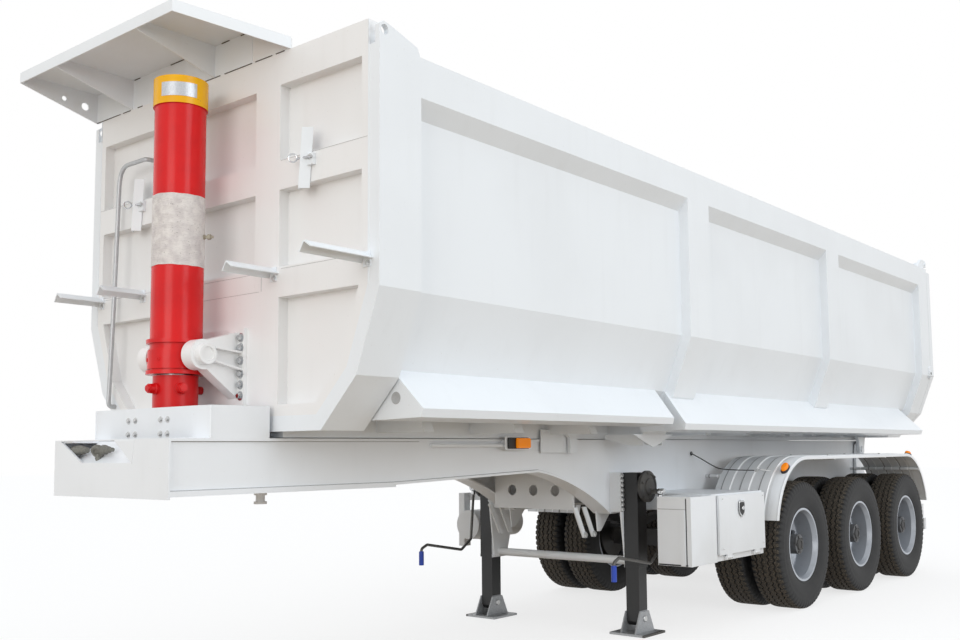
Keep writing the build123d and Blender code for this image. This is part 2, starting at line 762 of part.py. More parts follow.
def toolbox():
    """Steel locker under a shelf, its side open behind the door."""
    outer = block(box_rear_x, box_front_x, box_inner_y, box_face_y, box_bottom, box_top)
    inner = block(box_rear_x + box_sheet, box_front_x - box_sheet, box_inner_y + box_sheet,
                  box_face_y - box_sheet, box_bottom + box_sheet, box_top - box_sheet)
    mouth = block(box_rear_x + box_frame, door_front_x - box_frame, box_face_y - box_sheet - 1,
                  box_face_y + 1, box_bottom + 2 * box_frame, box_top - box_frame)
    pieces = [outer - inner - mouth]
    panel = block(door_front_x + 2 * box_frame, box_front_x, box_face_y - 1,
                  box_face_y + door_gap + door_thickness, box_bottom, box_top)
    pieces.append(panel)
    shelf_front = leg_x - 240
    pieces.append(block(box_rear_x, shelf_front, web_out_y, box_face_y, box_top,
                        box_top + box_sheet))
    for x in (box_rear_x, shelf_front - box_sheet):
        pieces.append(along([(x, box_top + 1), (x + box_sheet, box_top + 1),
                             (x + box_sheet, rail_bottom + 20), (x, rail_bottom + 20)],
                            web_out_y, box_inner_y + 1))
    pin_y, pin_z = door_pin()
    for x in door_hinges:
        reach = door_barrel_half + door_lug + door_clearance / 4
        pieces.append(rod(door_pin_radius, (x - reach, pin_y, pin_z), (x + reach, pin_y, pin_z)))
        for edge in (x - reach, x + reach - door_lug):
            pieces.append(block(edge, edge + door_lug, box_face_y - 1,
                                pin_y + door_barrel_radius, pin_z - door_barrel_radius,
                                pin_z + door_barrel_radius))
    return joined(pieces)


def door_pin():
    """The y and z of the door's hinge line."""
    return box_face_y + door_gap + door_thickness / 2, box_bottom + 2 * door_barrel_radius


def toolbox_door():
    """Drop-down door of the locker with two hinge barrels at its foot."""
    pin_y, pin_z = door_pin()
    y0 = box_face_y + door_gap
    y1 = y0 + door_thickness
    panel = block(box_rear_x + 10, door_front_x, y0, y1, pin_z + door_clearance, box_top - 5)
    pieces = [panel]
    for x in door_hinges:
        web = block(x - door_barrel_half, x + door_barrel_half, pin_y - 4, y1, pin_z,
                    pin_z + door_clearance + 1)
        barrel = rod(door_barrel_radius, (x - door_barrel_half, pin_y, pin_z),
                     (x + door_barrel_half, pin_y, pin_z))
        pieces.append(web + barrel)
    whole = joined(pieces)
    for x in door_hinges:
        whole = whole - rod(door_pin_radius + bearing_gap, (x - door_barrel_half - 1, pin_y, pin_z),
                            (x + door_barrel_half + 1, pin_y, pin_z))
    latch_x = (box_rear_x + door_front_x) / 2
    latch = block(latch_x - 28, latch_x + 28, y1 - 1, y1 + 8, box_top - 160, box_top - 50)
    return whole + latch


def rear_end():
    """Pivot plates with their shaft, rear bar and lamp boxes."""
    plate_out = rail_outer_y + pivot_plate
    pin_end = plate_out + side_gap + lug_plate + 12
    boss = pivot_boss_radius
    outline = [(pivot_x - boss, pivot_z), (bar_rear_x + 60, rail_bottom), (bar_rear_x, bar_high),
               (bar_rear_x, bar_low), (bar_rear_x + bar_depth, bar_low),
               (bar_rear_x + bar_depth + 60, bar_high), (pivot_x + boss + 20, rail_bottom),
               (pivot_x + boss, pivot_z)]
    pieces = [block(bar_rear_x, bar_rear_x + bar_depth, -bar_half, bar_half, bar_low, bar_high)]
    for side in (-1, 1):
        plate = along(outline, rail_outer_y, plate_out) + rod(
            boss, (pivot_x, rail_outer_y, pivot_z), (pivot_x, plate_out, pivot_z))
        pin = rod(pivot_radius, (pivot_x, web_out_y, pivot_z), (pivot_x, pin_end, pivot_z))
        pieces.append(on_side(plate + pin, side))
        box = block(bar_rear_x, bar_rear_x + bar_depth, lamp_box_y[0], lamp_box_y[1],
                    bar_high - 1, lamp_box_z[1])
        pieces.append(on_side(box, side))
    shaft = rod(pivot_radius, (pivot_x, -web_in_y, pivot_z), (pivot_x, web_in_y, pivot_z))
    return Compound([joined(pieces), shaft])


def side_rack():
    """Open rack on the right side with an air tank on its tray."""
    front, rear = rack_posts[1], rack_posts[0]
    inner_y = rack_face_y + rack_post_depth
    pieces = []
    for x in rack_posts:
        half = rack_post_width / 2
        pieces.append(block(x - half, x + half, rack_face_y, inner_y, rack_low, rack_high))
        beam_x = x - 60 if x == front else x
        pieces.append(block(beam_x - 30, beam_x + 30, rack_face_y + 10, -web_out_y,
                            rack_high - 60, rack_high))
    tank_y = inner_y + rack_tank_radius
    tray = block(rear, front, rack_face_y + 10, tank_y + rack_tank_radius / 2, rack_low + 60,
                 rack_low + 70)
    middle = (rear + front) / 2
    tank_z = rack_low + 69 + rack_tank_radius
    tank = rod(rack_tank_radius, (middle - rack_tank_half, tank_y, tank_z),
               (middle + rack_tank_half, tank_y, tank_z))
    return joined(pieces + [tray, tank])


# Tipping body
def floor():
    """Floor sheet."""
    foot = hull_points(rib_depth + sheet)[2]
    return block(body_rear_x, body_front_x, -foot[0], foot[0], floor_z + rib_depth,
                 floor_z + rib_depth + sheet)


def ledge(rear_wall_x, rear_lip_x, front_lip_x, front_wall_x, lip_top):
    """Closed ledge that runs along the lower part of a side wall."""
    upper, lower, foot = hull_points(rib_depth)
    under_z = lip_top - ledge_lip - ledge_under_drop
    under_y = y_at(under_z, (floor_half, floor_z), (knee_lower_y, knee_lower_z))
    section = [(y_at(ledge_top_z, lower, upper), ledge_top_z), (half_width, lip_top),
               (half_width - ledge_lip_tuck, lip_top - ledge_lip), (under_y, under_z), foot, lower]
    low_x, high_x = min(rear_wall_x, rear_lip_x), max(front_lip_x, front_wall_x)
    bar = across(section, low_x, high_x)
    root = floor_half - rib_depth
    plan = [(rear_wall_x, root), (rear_wall_x, lower[0]), (rear_lip_x, half_width + 1),
            (front_lip_x, half_width + 1), (front_wall_x, lower[0]), (front_wall_x, root)]
    return bar & upright(plan, floor_z, ledge_top_z + 1)


def lifting_lug():
    """Lug with an eye on top of a front corner post."""
    outline = [(body_front_x, body_top), (body_front_x, lug_eye_z + 20),
               (body_front_x - 25, lug_top), (body_front_x - 74, lug_top - 9),
               (lug_foot_x + 20, body_top + 42), (lug_foot_x, body_top)]
    plate = along(outline, half_width - lug_thickness, half_width)
    eye = rod(lug_eye_radius, (lug_eye_x, half_width - lug_thickness - 1, lug_eye_z),
              (lug_eye_x, half_width + 1, lug_eye_z))
    return plate - eye


def gate_ear():
    """Ear at the rear top corner with the pin that the tailgate hangs on."""
    y0, y1 = gate_ear_y
    top = gate_hinge_z + gate_barrel_radius + 10
    outline = [(body_rear_x + 210, body_top), (body_rear_x, body_top),
               (body_rear_x - 5, gate_hinge_z - 30), (gate_hinge_x - 34, gate_hinge_z - 30),
               (gate_hinge_x - 34, top - 20), (gate_hinge_x - 14, top), (body_rear_x + 60, top)]
    pin = rod(gate_pin_radius, (gate_hinge_x, gate_arm_y[0] - 10, gate_hinge_z),
              (gate_hinge_x, y1 + 10, gate_hinge_z))
    return along(outline, y0, y1) + pin


def side_wall(side):
    """Side sheet with its posts, ribs, top rail, ledges, lifting lug and gate ear."""
    front, rear = body_front_x, body_rear_x
    upper_o, lower_o, foot_o = hull_points(rib_depth)
    upper_i, lower_i, foot_i = hull_points(rib_depth + sheet)
    pieces = [across([
        (upper_o[0], body_top), upper_o, lower_o, foot_o, (foot_i[0], foot_o[1]), foot_i,
        lower_i, upper_i, (upper_i[0], body_top),
    ], rear, front)]
    rib_section = outer_line() + [foot_o, lower_o, upper_o, (upper_o[0], body_top)]
    for x0, x1 in [(front - post_width, front), (rear, rear_post_front_x)] + rib_table:
        pieces.append(across(rib_section, x0, x1))
    bevel_z = rail_recess_z - rail_bevel
    pieces.append(across([
        (half_width, body_top), (half_width, rail_recess_z), (upper_o[0], bevel_z),
        (upper_i[0], bevel_z), (upper_i[0], body_top),
    ], rear, front))
    for row in ledge_table:
        pieces.append(ledge(*row))
    pieces += [lifting_lug(), gate_ear()]
    return on_side(joined(pieces), side)


def front_wall():
    """Front wall: folded frame round recessed panels."""
    x0 = body_front_x - wall_frame_depth
    upper, lower, foot = hull_points(rib_depth + sheet)
    outline = [(upper[0], wall_top), upper, lower, foot]
    full = across(outline + [(-y, z) for y, z in reversed(outline)], x0, body_front_x)
    for z0, z1 in wall_rows:
        low_row = z0 < knee_lower_z
        if not low_row:
            full = full - block(x0 + sheet, body_front_x + 1, -wall_post_inner, wall_post_inner,
                                z0, z1)
            points = [(wall_post_outer, z0), (wall_side_inner, z0), (wall_side_inner, z1),
                      (wall_post_outer, z1)]
        else:
            points = [(wall_post_outer, z0), (foot[0] - 10, z0), (lower[0] - 40, lower[1] + 30),
                      (wall_side_inner - 20, z1), (wall_post_outer, z1)]
        cut = across(points, x0 + sheet, body_front_x + 1)
        full = full - cut - mirror_y(cut)
    return full


def canopy():
    """Hood over the cylinder head, with a sloped near end and eyes in its far end."""
    x0, x1 = body_front_x, canopy_front_x
    far, near = -half_width, canopy_near_y
    under = canopy_top - canopy_sheet
    lip_low = canopy_top - canopy_lip
    pieces = [
        block(x0 - canopy_back_sheet, x0, far, near, wall_top, under),
        block(x0 - canopy_back_sheet, x1, far, near, under, canopy_top),
        block(x1 - canopy_sheet, x1, far, near, lip_low, under),
    ]
    gusset = [(x0, wall_top), (x1 - 1, lip_low), (x1 - 1, under + 1), (x0, under + 1)]
    for y in [far] + canopy_gussets:
        plate = along(gusset, y, y + canopy_sheet)
        if y == far:
            for eye_x, eye_z, radius in canopy_eyes:
                plate = plate - rod(radius, (eye_x, y - 1, eye_z), (eye_x, y + 20, eye_z))
        pieces.append(plate)
    foot_z = wall_top + canopy_lip
    corner, back, foot = (x1, near, canopy_top), (x0, near, canopy_top), (x0, canopy_foot_y, foot_z)
    wing = make_face(Polyline(corner, back, foot, close=True))
    pieces.append(extrude(wing, amount=canopy_sheet, dir=(0, 0, -1)))
    low_corner = (x1, near, lip_low)
    low_foot = (x0, canopy_foot_y, wall_top)
    strip = make_face(Polyline(corner, foot, low_foot, low_corner, close=True))
    pieces.append(extrude(strip, amount=canopy_sheet, dir=(0, -1, 0)))
    return joined(pieces)


def front_fittings():
    """Handrail, angle brackets and cleats on the front wall."""
    x0 = body_front_x
    rail_x = x0 + handrail_standoff
    route = [(x0, handrail_route[0][0], handrail_route[0][1])]
    route += [(rail_x, y, z) for y, z in handrail_route]
    route += [(x0, handrail_route[-1][0], handrail_route[-1][1])]
    solids = [bent_bar(handrail_radius, route, handrail_standoff / 2)]
    for y, z, reach in angle_table:
        foot = block(x0, x0 + angle_sheet, y - angle_size / 2, y + angle_size / 2, z - angle_size,
                     z + angle_size / 2)
        arm = block(x0, x0 + reach, y - angle_size / 2, y + angle_size / 2, z, z + angle_sheet)
        web = block(x0, x0 + reach, y - angle_size / 2, y - angle_size / 2 + angle_sheet,
                    z - angle_size / 2, z + 1)
        solids.append(joined([foot, arm, web]))
    for y0, y1, z0, z1 in cleat_table:
        plate = block(x0, x0 + angle_sheet, y0, y1, z0, z1)
        rib = along([(x0, z0 + 20), (x0 + cleat_depth, z0 + 60), (x0 + cleat_depth, z1 - 60),
                     (x0, z1 - 20)], (y0 + y1) / 2 - 4, (y0 + y1) / 2 + 4)
        solids.append(plate + rib)
    return Compound(solids)


def floor_frame():
    """Long beams, bearers and front beam under the floor, and the pivot lugs."""
    top = floor_z + rib_depth
    foot = hull_points(rib_depth)[2]
    bearer = [(-floor_half, floor_z), (floor_half, floor_z), foot, (-foot[0], foot[1])]
    pieces = []
    for side in (-1, 1):
        y = side * rail_centre_y
        pieces.append(block(body_rear_x, body_front_x - wall_frame_depth, y - beam_half,
                            y + beam_half, bearing_z, top))
        near = rail_outer_y + pivot_plate + side_gap
        lug = along([(pivot_x - 55, pivot_z - 40), (pivot_x + 55, pivot_z - 40),
                     (pivot_x + 120, top), (pivot_x - 120, top)], near, near + lug_plate)
        lug = lug + rod(68, (pivot_x, near, pivot_z), (pivot_x, near + lug_plate, pivot_z))
        bore = rod(pivot_radius + pin_gap, (pivot_x, near - 5, pivot_z),
                   (pivot_x, near + lug_plate + 5, pivot_z))
        pieces.append(on_side(lug - bore, side))
    for x in bearer_x + [pivot_x, body_rear_x + bearer_half]:
        pieces.append(across(bearer, x - bearer_half, x + bearer_half))
    front = across(bearer, body_front_x - wall_frame_depth, body_front_x)
    notch = block(body_front_x - wall_frame_depth - 1, body_front_x + 1, -slot_half_width,
                  slot_half_width, floor_z - 1, top + 1)
    pieces.append(front - notch)
    return joined(pieces)


def trunnion_bracket():
    """Bracket on the front wall that carries the cylinder in two eyes."""
    x0 = body_front_x
    pieces = [block(x0, x0 + bracket_plate, -bracket_half_width, bracket_half_width,
                    bracket_bottom, bracket_top)]
    root_low, root_high = bracket_bottom + 40, bracket_top - 20
    for side in (-1, 1):
        arm = along([(x0 + bracket_plate, root_low), (x0 + bracket_plate, root_high),
                     (cylinder_x - 20, trunnion_z + arm_eye_radius - 3),
                     (cylinder_x - 20, trunnion_z - arm_eye_radius + 3)],
                    arm_inner_y, arm_outer_y)
        eye = rod(arm_eye_radius, (cylinder_x, arm_inner_y, trunnion_z),
                  (cylinder_x, arm_outer_y, trunnion_z))
        pieces.append(on_side(arm + eye, side))
    whole = joined(pieces)
    reach = arm_outer_y + 10
    return whole - rod(trunnion_radius + pin_gap, (cylinder_x, -reach, trunnion_z),
                       (cylinder_x, reach, trunnion_z))


def tailgate():
    """Top-hung rear door: a skin in a deep frame with ribs, on two arms."""
    x1 = body_rear_x - gate_gap
    x0 = x1 - gate_thickness
    outline = outer_line()
    outline[0] = (half_width, gate_top)
    full = across(outline + [(-y, z) for y, z in reversed(outline)], x0, x1)
    upper, lower, foot = hull_points(gate_frame)
    inner = [(upper[0], gate_top - gate_frame), upper, lower, foot]
    pocket = across(inner + [(-y, z) for y, z in reversed(inner)], x0 - 1, x1 - gate_skin)
    for z in gate_rib_z:
        pocket = pocket - block(x0 - 2, x1, -half_width, half_width, z - 35, z + 35)
    pocket = pocket - block(x0 - 2, x1, -gate_frame / 2, gate_frame / 2, floor_z, gate_top)
    pieces = [full - pocket]
    for side in (-1, 1):
        y0, y1 = gate_arm_y
        arm = block(gate_hinge_x - 20, gate_hinge_x + 20, y0, y1, gate_top - 1, gate_hinge_z)
        barrel = rod(gate_barrel_radius, (gate_hinge_x, y0, gate_hinge_z),
                     (gate_hinge_x, y1, gate_hinge_z))
        bore = rod(gate_pin_radius + bearing_gap, (gate_hinge_x, y0 - 1, gate_hinge_z),
                   (gate_hinge_x, y1 + 1, gate_hinge_z))
        pieces.append(on_side(arm + barrel - bore, side))
    return joined(pieces)


# Tipping cylinder
def cylinder_cover():
    """Cover tube with its cap, collar, two flange rings and trunnions."""
    bore = stage_radii[0] + stage_wall_gap
    rings = [(cover_radius, cover_bottom, cover_top - 5), (cover_radius + cap_rim,
             cover_top - cap_height, cover_top), (collar_radius, collar_low, collar_high),
             (flange_ring_radius, cover_bottom, cover_bottom + flange_ring),
             (flange_ring_radius, upper_flange_z - flange_ring, upper_flange_z)]
    whole = joined([rod(radius, (cylinder_x, 0, low), (cylinder_x, 0, high))
                    for radius, low, high in rings])
    for side in (-1, 1):
        whole = whole + rod(trunnion_radius, (cylinder_x, side * (bore + 5), trunnion_z),
                            (cylinder_x, side * trunnion_end_y, trunnion_z))
    return whole - rod(bore, (cylinder_x, 0, cover_bottom - 1), (cylinder_x, 0, cover_top - 20))


def cylinder_stage(index):
    """One telescoping tube; the last is the base that stands in the gooseneck."""
    radius = stage_radii[index]
    high = cover_top - 60 - 25 * index
    if index < len(stage_radii) - 1:
        return pipe(radius, stage_radii[index + 1] + stage_wall_gap, (cylinder_x, 0, cover_bottom),
                    (cylinder_x, 0, high))
    neck_top = base_pin_z + base_foot
    half_eye = base_eye_radius + 10
    pieces = [
        rod(radius, (cylinder_x, 0, base_top - 10), (cylinder_x, 0, high)),
        rod(base_radius, (cylinder_x, 0, neck_top), (cylinder_x, 0, base_top)),
        block(cylinder_x - base_eye_radius + 10, cylinder_x + base_eye_radius - 10, -half_eye,
              half_eye, base_pin_z, neck_top),
        rod(base_eye_radius, (cylinder_x, -half_eye, base_pin_z), (cylinder_x, half_eye, base_pin_z)),
    ]
    for end in (-1, 1):
        start_x = cylinder_x + end * (base_radius - 20)
        pieces.append(rod(port_radius, (start_x, 0, port_z),
                          (cylinder_x + end * (base_radius + port_reach), 0, port_z)))
    return joined(pieces)


def build_all():
    """Every named piece of the trailer."""
    parts = {}
    for side, label in ((1, "left"), (-1, "right")):
        for k, place in ((1, "front"), (0, "middle"), (-1, "rear")):
            parts[f"tyres_{place}_{label}"] = tyre_pair(side, k * axle_spacing)
            parts[f"wheels_{place}_{label}"] = wheel_pair(side, k * axle_spacing)
        parts[f"main_rail_{label}"] = main_rail(side)
        parts[f"landing_leg_{label}"] = landing_leg(side)
        parts[f"mudguard_{label}"] = mudguard(side)
        parts[f"side_wall_{label}"] = side_wall(side)
    for k, place in ((1, "front"), (0, "middle"), (-1, "rear")):
        parts[f"axle_{place}"] = axle(k * axle_spacing)
    for i in range(len(stage_radii)):
        parts[f"cylinder_stage_{i + 1}"] = cylinder_stage(i)
    parts["cross_members"] = cross_members()
    parts["front_end"] = front_end()
    parts["tipping_platform"] = platform()
    parts["leg_brace"] = leg_brace()
    parts["suspension"] = suspension()
    parts["toolbox"] = toolbox()
    parts["toolbox_door"] = toolbox_door()
    parts["rear_end"] = rear_end()
    parts["side_rack"] = side_rack()
    parts["body_floor"] = floor()
    parts["front_wall"] = front_wall()
    parts["canopy"] = canopy()
    parts["front_fittings"] = front_fittings()
    parts["floor_frame"] = floor_frame()
    parts["trunnion_bracket"] = trunnion_bracket()
    parts["tailgate"] = tailgate()
    parts["cylinder_cover"] = cylinder_cover()
    return parts


os.makedirs("parts", exist_ok=True)
for name, solid in build_all().items():
    export_step(Pos(shift_x, 0, 0) * solid, f"parts/{name}.step")
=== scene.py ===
from math import cos, pi, radians, sin, sqrt

import bmesh
import bpy
import numpy as np
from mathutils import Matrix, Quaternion, Vector


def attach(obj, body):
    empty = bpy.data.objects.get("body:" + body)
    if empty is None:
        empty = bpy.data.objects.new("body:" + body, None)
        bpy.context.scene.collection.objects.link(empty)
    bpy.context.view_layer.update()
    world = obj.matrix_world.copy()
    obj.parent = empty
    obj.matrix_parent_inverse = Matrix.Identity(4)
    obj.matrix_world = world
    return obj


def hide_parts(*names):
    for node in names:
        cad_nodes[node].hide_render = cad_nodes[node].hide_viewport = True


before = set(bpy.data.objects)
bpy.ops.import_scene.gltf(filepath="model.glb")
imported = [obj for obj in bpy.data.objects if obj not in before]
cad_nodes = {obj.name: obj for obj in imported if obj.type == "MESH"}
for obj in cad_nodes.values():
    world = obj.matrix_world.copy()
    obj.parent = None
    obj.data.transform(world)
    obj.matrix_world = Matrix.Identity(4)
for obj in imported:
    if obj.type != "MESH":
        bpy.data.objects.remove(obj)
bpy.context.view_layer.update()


# Chassis rails, cross members, coupling end and platform: pressed and welded steel channels
# in satin white enamel, dusty towards the road. The whole trailer hangs on them.
mid_x = -2.3325  # the middle axle, from which lengths are measured
axle_spacing = 1.31
enamel_white = (0.83, 0.855, 0.885, 1)
enamel_shade = (0.765, 0.785, 0.81, 1)
road_dust = (0.47, 0.44, 0.39, 1)


class Wire:
    """A shader socket that sums and products work on: each operator adds its Math node."""

    def __init__(self, tree, socket):
        self.tree = tree
        self.socket = socket

    def node(self, kind, settings, inputs, output=0):
        """Adds a node: its settings first, then the values or wires of its sockets."""
        made = self.tree.nodes.new("ShaderNode" + kind)
        for key, value in settings.items():
            setattr(made, key, value)
        for key, value in inputs.items():
            if isinstance(value, Wire):
                self.tree.links.new(value.socket, made.inputs[key])
            else:
                made.inputs[key].default_value = value
        return Wire(self.tree, made.outputs[output] if made.outputs else None)

    def maths(self, operation, first, second=0):
        return self.node("Math", {"operation": operation}, {0: first, 1: second})

    def __add__(self, other):
        return self.maths("ADD", self, other)

    def __sub__(self, other):
        return self.maths("SUBTRACT", self, other)

    def __rsub__(self, other):
        return self.maths("SUBTRACT", other, self)

    def __mul__(self, other):
        return self.maths("MULTIPLY", self, other)

    __radd__ = __add__
    __rmul__ = __mul__

    def rise(self, low, high):
        """0 at low and 1 at high, smooth between."""
        return self.node("MapRange", {"interpolation_type": "SMOOTHSTEP"},
                         {0: self, 1: low, 2: high})

    def along(self, axis):
        """One coordinate of a place."""
        return self.node("SeparateXYZ", {}, {0: self}, "XYZ".index(axis))

    def grain(self, size, detail=2, stretch=(1, 1, 1)):
        """Noise whose patches are about size metres, longer where stretch is under 1."""
        placed = self.node("Mapping", {}, {"Vector": self, "Scale": stretch})
        return self.node("TexNoise", {}, {"Vector": placed, "Scale": 1 / size, "Detail": detail})

    def blend(self, first, second):
        """The first colour where this is 0 and the second where it is 1."""
        return self.node("Mix", {"data_type": "RGBA"}, {0: self, 6: first, 7: second}, 2)

    def relief(self):
        """A normal from this height in metres."""
        return self.node("Bump", {}, {"Strength": 1, "Distance": 1, "Height": self})


slots = {}


def new_finish(name, slot="white_paint"):
    """A new material, with the record finish it stands for noted in slots, and the piece's own
    coordinates.
    """
    finish = bpy.data.materials.new(name)
    finish.use_nodes = True
    slots[finish.name] = slot
    tree = finish.node_tree
    return finish, Wire(tree, tree.nodes.new("ShaderNodeTexCoord").outputs["Object"])


def set_shader(finish, sockets):
    """Puts values or wires into the sockets of a finish's shader."""
    shader = finish.node_tree.nodes["Principled BSDF"]
    for name, value in sockets.items():
        if isinstance(value, Wire):
            finish.node_tree.links.new(value.socket, shader.inputs[name])
        else:
            shader.inputs[name].default_value = value


def enamel(name, colour, shade, dust_top, gloss=0.3):
    """Enamel on sheet steel: soft clouds, faint runs, dust that thins out up to dust_top
    metres, an orange peel of 2 mm and the slow waves of thin sheet."""
    finish, place = new_finish(name)
    clouds = place.grain(0.7, 3)
    runs = place.grain(0.09, 3, (1, 1, 0.09))
    specks = place.grain(0.012, 2)
    dust = place.along("Z").rise(dust_top, dust_top - 1) * clouds.rise(0.25, 0.75) * 0.34
    worn = clouds.rise(0.35, 0.8) * 0.55 + runs.rise(0.52, 0.8) * 0.3
    painted = worn.blend(colour, shade)
    spots = specks.rise(0.7, 0.78) * 0.22 + dust
    set_shader(finish, {
        "Base Color": spots.blend(painted, road_dust),
        "Roughness": gloss + clouds * 0.1 + dust * 0.7,
        "Normal": (place.grain(0.0022, 1) * 0.00003 + place.grain(0.35, 1) * 0.0012).relief(),
    })
    return finish


def dress(finish, *names):
    """Gives CAD nodes their finish."""
    for name in names:
        for place in cad_nodes[name].material_slots:
            place.material = finish


chassis_enamel = enamel("chassis_enamel", enamel_white, enamel_shade, 1.35)
dress(chassis_enamel, "main_rail_left", "main_rail_right", "cross_members", "front_end",
      "tipping_platform", "leg_brace", "rear_end", "side_rack")


# Bolts of the platform and of the neck: zinc-plated hexagon heads on washers, pulled up
# through the sheet in groups of four.
def plain_finish(name, slot, grain, first, second, rough, spread, metallic, height, fine=()):
    """A finish clouded from a first to a second colour by one grain. Its relief of height
    metres follows that grain, or a fine one."""
    finish, place = new_finish(name, slot)
    cloud = place.grain(*grain)
    relief = place.grain(*fine) if fine else cloud
    set_shader(finish, {
        "Base Color": cloud.blend(first, second),
        "Metallic": metallic,
        "Roughness": rough + cloud * spread,
        "Normal": (relief * height).relief(),
    })
    return finish


zinc = plain_finish("zinc_plate", "bare_steel", (0.02, 3), (0.74, 0.75, 0.75, 1),
                    (0.52, 0.52, 0.51, 1), 0.3, 0.25, 0.8, 0.0002, (0.002, 2))


def grid_faces(rows, columns, round_rows=False, round_columns=True):
    """Four-sided faces of a grid of points, joined up again at the ends that go round."""
    row = np.arange(rows if round_rows else rows - 1)[:, None]
    column = np.arange(columns if round_columns else columns - 1)[None, :]
    next_row, next_column = (row + 1) % rows, (column + 1) % columns
    corners = [row * columns + column, row * columns + next_column,
               next_row * columns + next_column, next_row * columns + column]
    return np.stack(corners, -1).reshape(-1, 4)


def make_piece(name, shapes, finish, body="chassis", crease=38, slot=None):
    """One object from (points, faces) shapes, whose x is counted from the middle axle: doubles
    merged, faces outward, edges past crease degrees kept sharp. It rides on body. Its slot, slot or
    its finish's, is worked out and given to nothing."""
    counts = [len(points) for points, faces in shapes]
    starts = np.concatenate([[0], np.cumsum(counts)[:-1]])
    points = np.concatenate([points for points, faces in shapes]) + (mid_x, 0, 0)
    faces = np.concatenate([shape[1] + start for shape, start in zip(shapes, starts)])
    mesh = bpy.data.meshes.new(name)
    mesh.from_pydata(points.tolist(), [], faces.tolist())
    work = bmesh.new()
    work.from_mesh(mesh)
    bmesh.ops.remove_doubles(work, verts=work.verts, dist=2e-5)
    bmesh.ops.recalc_face_normals(work, faces=work.faces)
    work.to_mesh(mesh)
    work.free()
    mesh.shade_smooth()
    mesh.set_sharp_from_angle(angle=radians(crease))
    mesh.materials.append(finish)
    made = bpy.data.objects.new(name, mesh)
    bpy.context.scene.collection.objects.link(made)
    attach(made, body)
    slot or slots[finish.name]
    return made


def spokes(way, columns):
    """Steps square to way at even angles t round it: side cos t, and (way x side) sin t."""
    side = np.cross(way, (0, 0, 1) if abs(way[2]) < 0.9 else (1, 0, 0))
    side = side / np.linalg.norm(side)
    angle = np.arange(columns)[:, None] * 2 * pi / columns
    return np.cos(angle) * side, np.sin(angle) * np.cross(way, side)


def hexagons(places, way, across, height):
    """Bolt heads at places, their sizes in mm: a round washer, then a ring of twelve points
    pushed out at the six corners, drawn in at the crown."""
    across, height = across / 1000, height / 1000
    way = np.array(way, float)
    first, second = spokes(way, 12)
    corner = np.where(np.arange(12) % 2 == 0, 1, cos(pi / 6)) * across / sqrt(3)
    disc = np.full(12, across * 0.92)
    radius = np.stack([disc, disc, corner, corner, corner * 0.84, corner * 0])
    rise = np.array([-0.02, 0.14, 0.14, 0.82, 1, 1]) * height
    one = rise[:, None, None] * way + radius[:, :, None] * (first + second)
    points = np.array(places, float)[:, None, None] + one
    faces = grid_faces(6, 12)
    every = faces[None] + (np.arange(len(places)) * 72)[:, None, None]
    return points.reshape(-1, 3), every.reshape(-1, 4)


platform_bolts = [(6.65, y, z) for y in (-0.197, -0.133, 0.095, 0.157) for z in (1.417, 1.488)]
make_piece("platform_bolts", [hexagons(platform_bolts, (1, 0, 0), 19, 11)], zinc)


# Corner welds of the platform and the lapped sheet beside the coupling recess: thin seams
# ground back and painted over with the chassis.
def slab(outline, across_axis, low, high, edge=0.0015):
    """A convex outline given in two axes and carried along the third, its rims drawn in by
    edge towards the middle, and closed to a point in each face."""
    outline = np.array(outline, float)
    middle = outline.mean(0)
    reach = outline - middle
    inner = middle + reach * (1 - edge / np.abs(reach).max())
    end = np.repeat(middle[None], len(outline), 0)
    depth = np.sign(high - low) * edge
    levels = [low, low, low + depth, high - depth, high, high]
    flat = np.stack([end, inner, outline, outline, inner, end])
    level = np.repeat(np.array(levels)[:, None], len(outline), 1)
    axis = "xyz".index(across_axis)
    points = np.insert(flat, axis, level, axis=2)
    return points.reshape(-1, 3), grid_faces(6, len(outline))


def tube(route, radius, columns=6, rounds=0):
    """A rod, its radius in mm, along a route whose corners are cut off a quarter in, rounds
    times over: rings square to the route's direction, closed to a point at both ends."""
    line = np.array(route, float)
    for _ in range(rounds):
        cuts = np.stack([0.75 * line[:-1] + 0.25 * line[1:],
                         0.25 * line[:-1] + 0.75 * line[1:]], 1).reshape(-1, 3)
        line = np.concatenate([line[:1], cuts, line[-1:]])
    way = np.gradient(line, axis=0)
    way /= np.linalg.norm(way, axis=1)[:, None]
    steady = (0.31, 0.22, 0.92) if abs(way[:, 2]).mean() < 0.7 else (0.9, 0.3, 0.1)
    side = np.cross(way, steady)
    side /= np.linalg.norm(side, axis=1)[:, None]
    other = np.cross(way, side)
    angle = np.arange(columns) * 2 * pi / columns
    ring = (np.cos(angle)[None, :, None] * side[:, None]
            + np.sin(angle)[None, :, None] * other[:, None])
    points = line[:, None] + radius / 1000 * ring
    ends = [np.repeat(line[:1], columns, 0)[None], points, np.repeat(line[-1:], columns, 0)[None]]
    return np.concatenate(ends).reshape(-1, 3), grid_faces(len(line) + 2, columns)


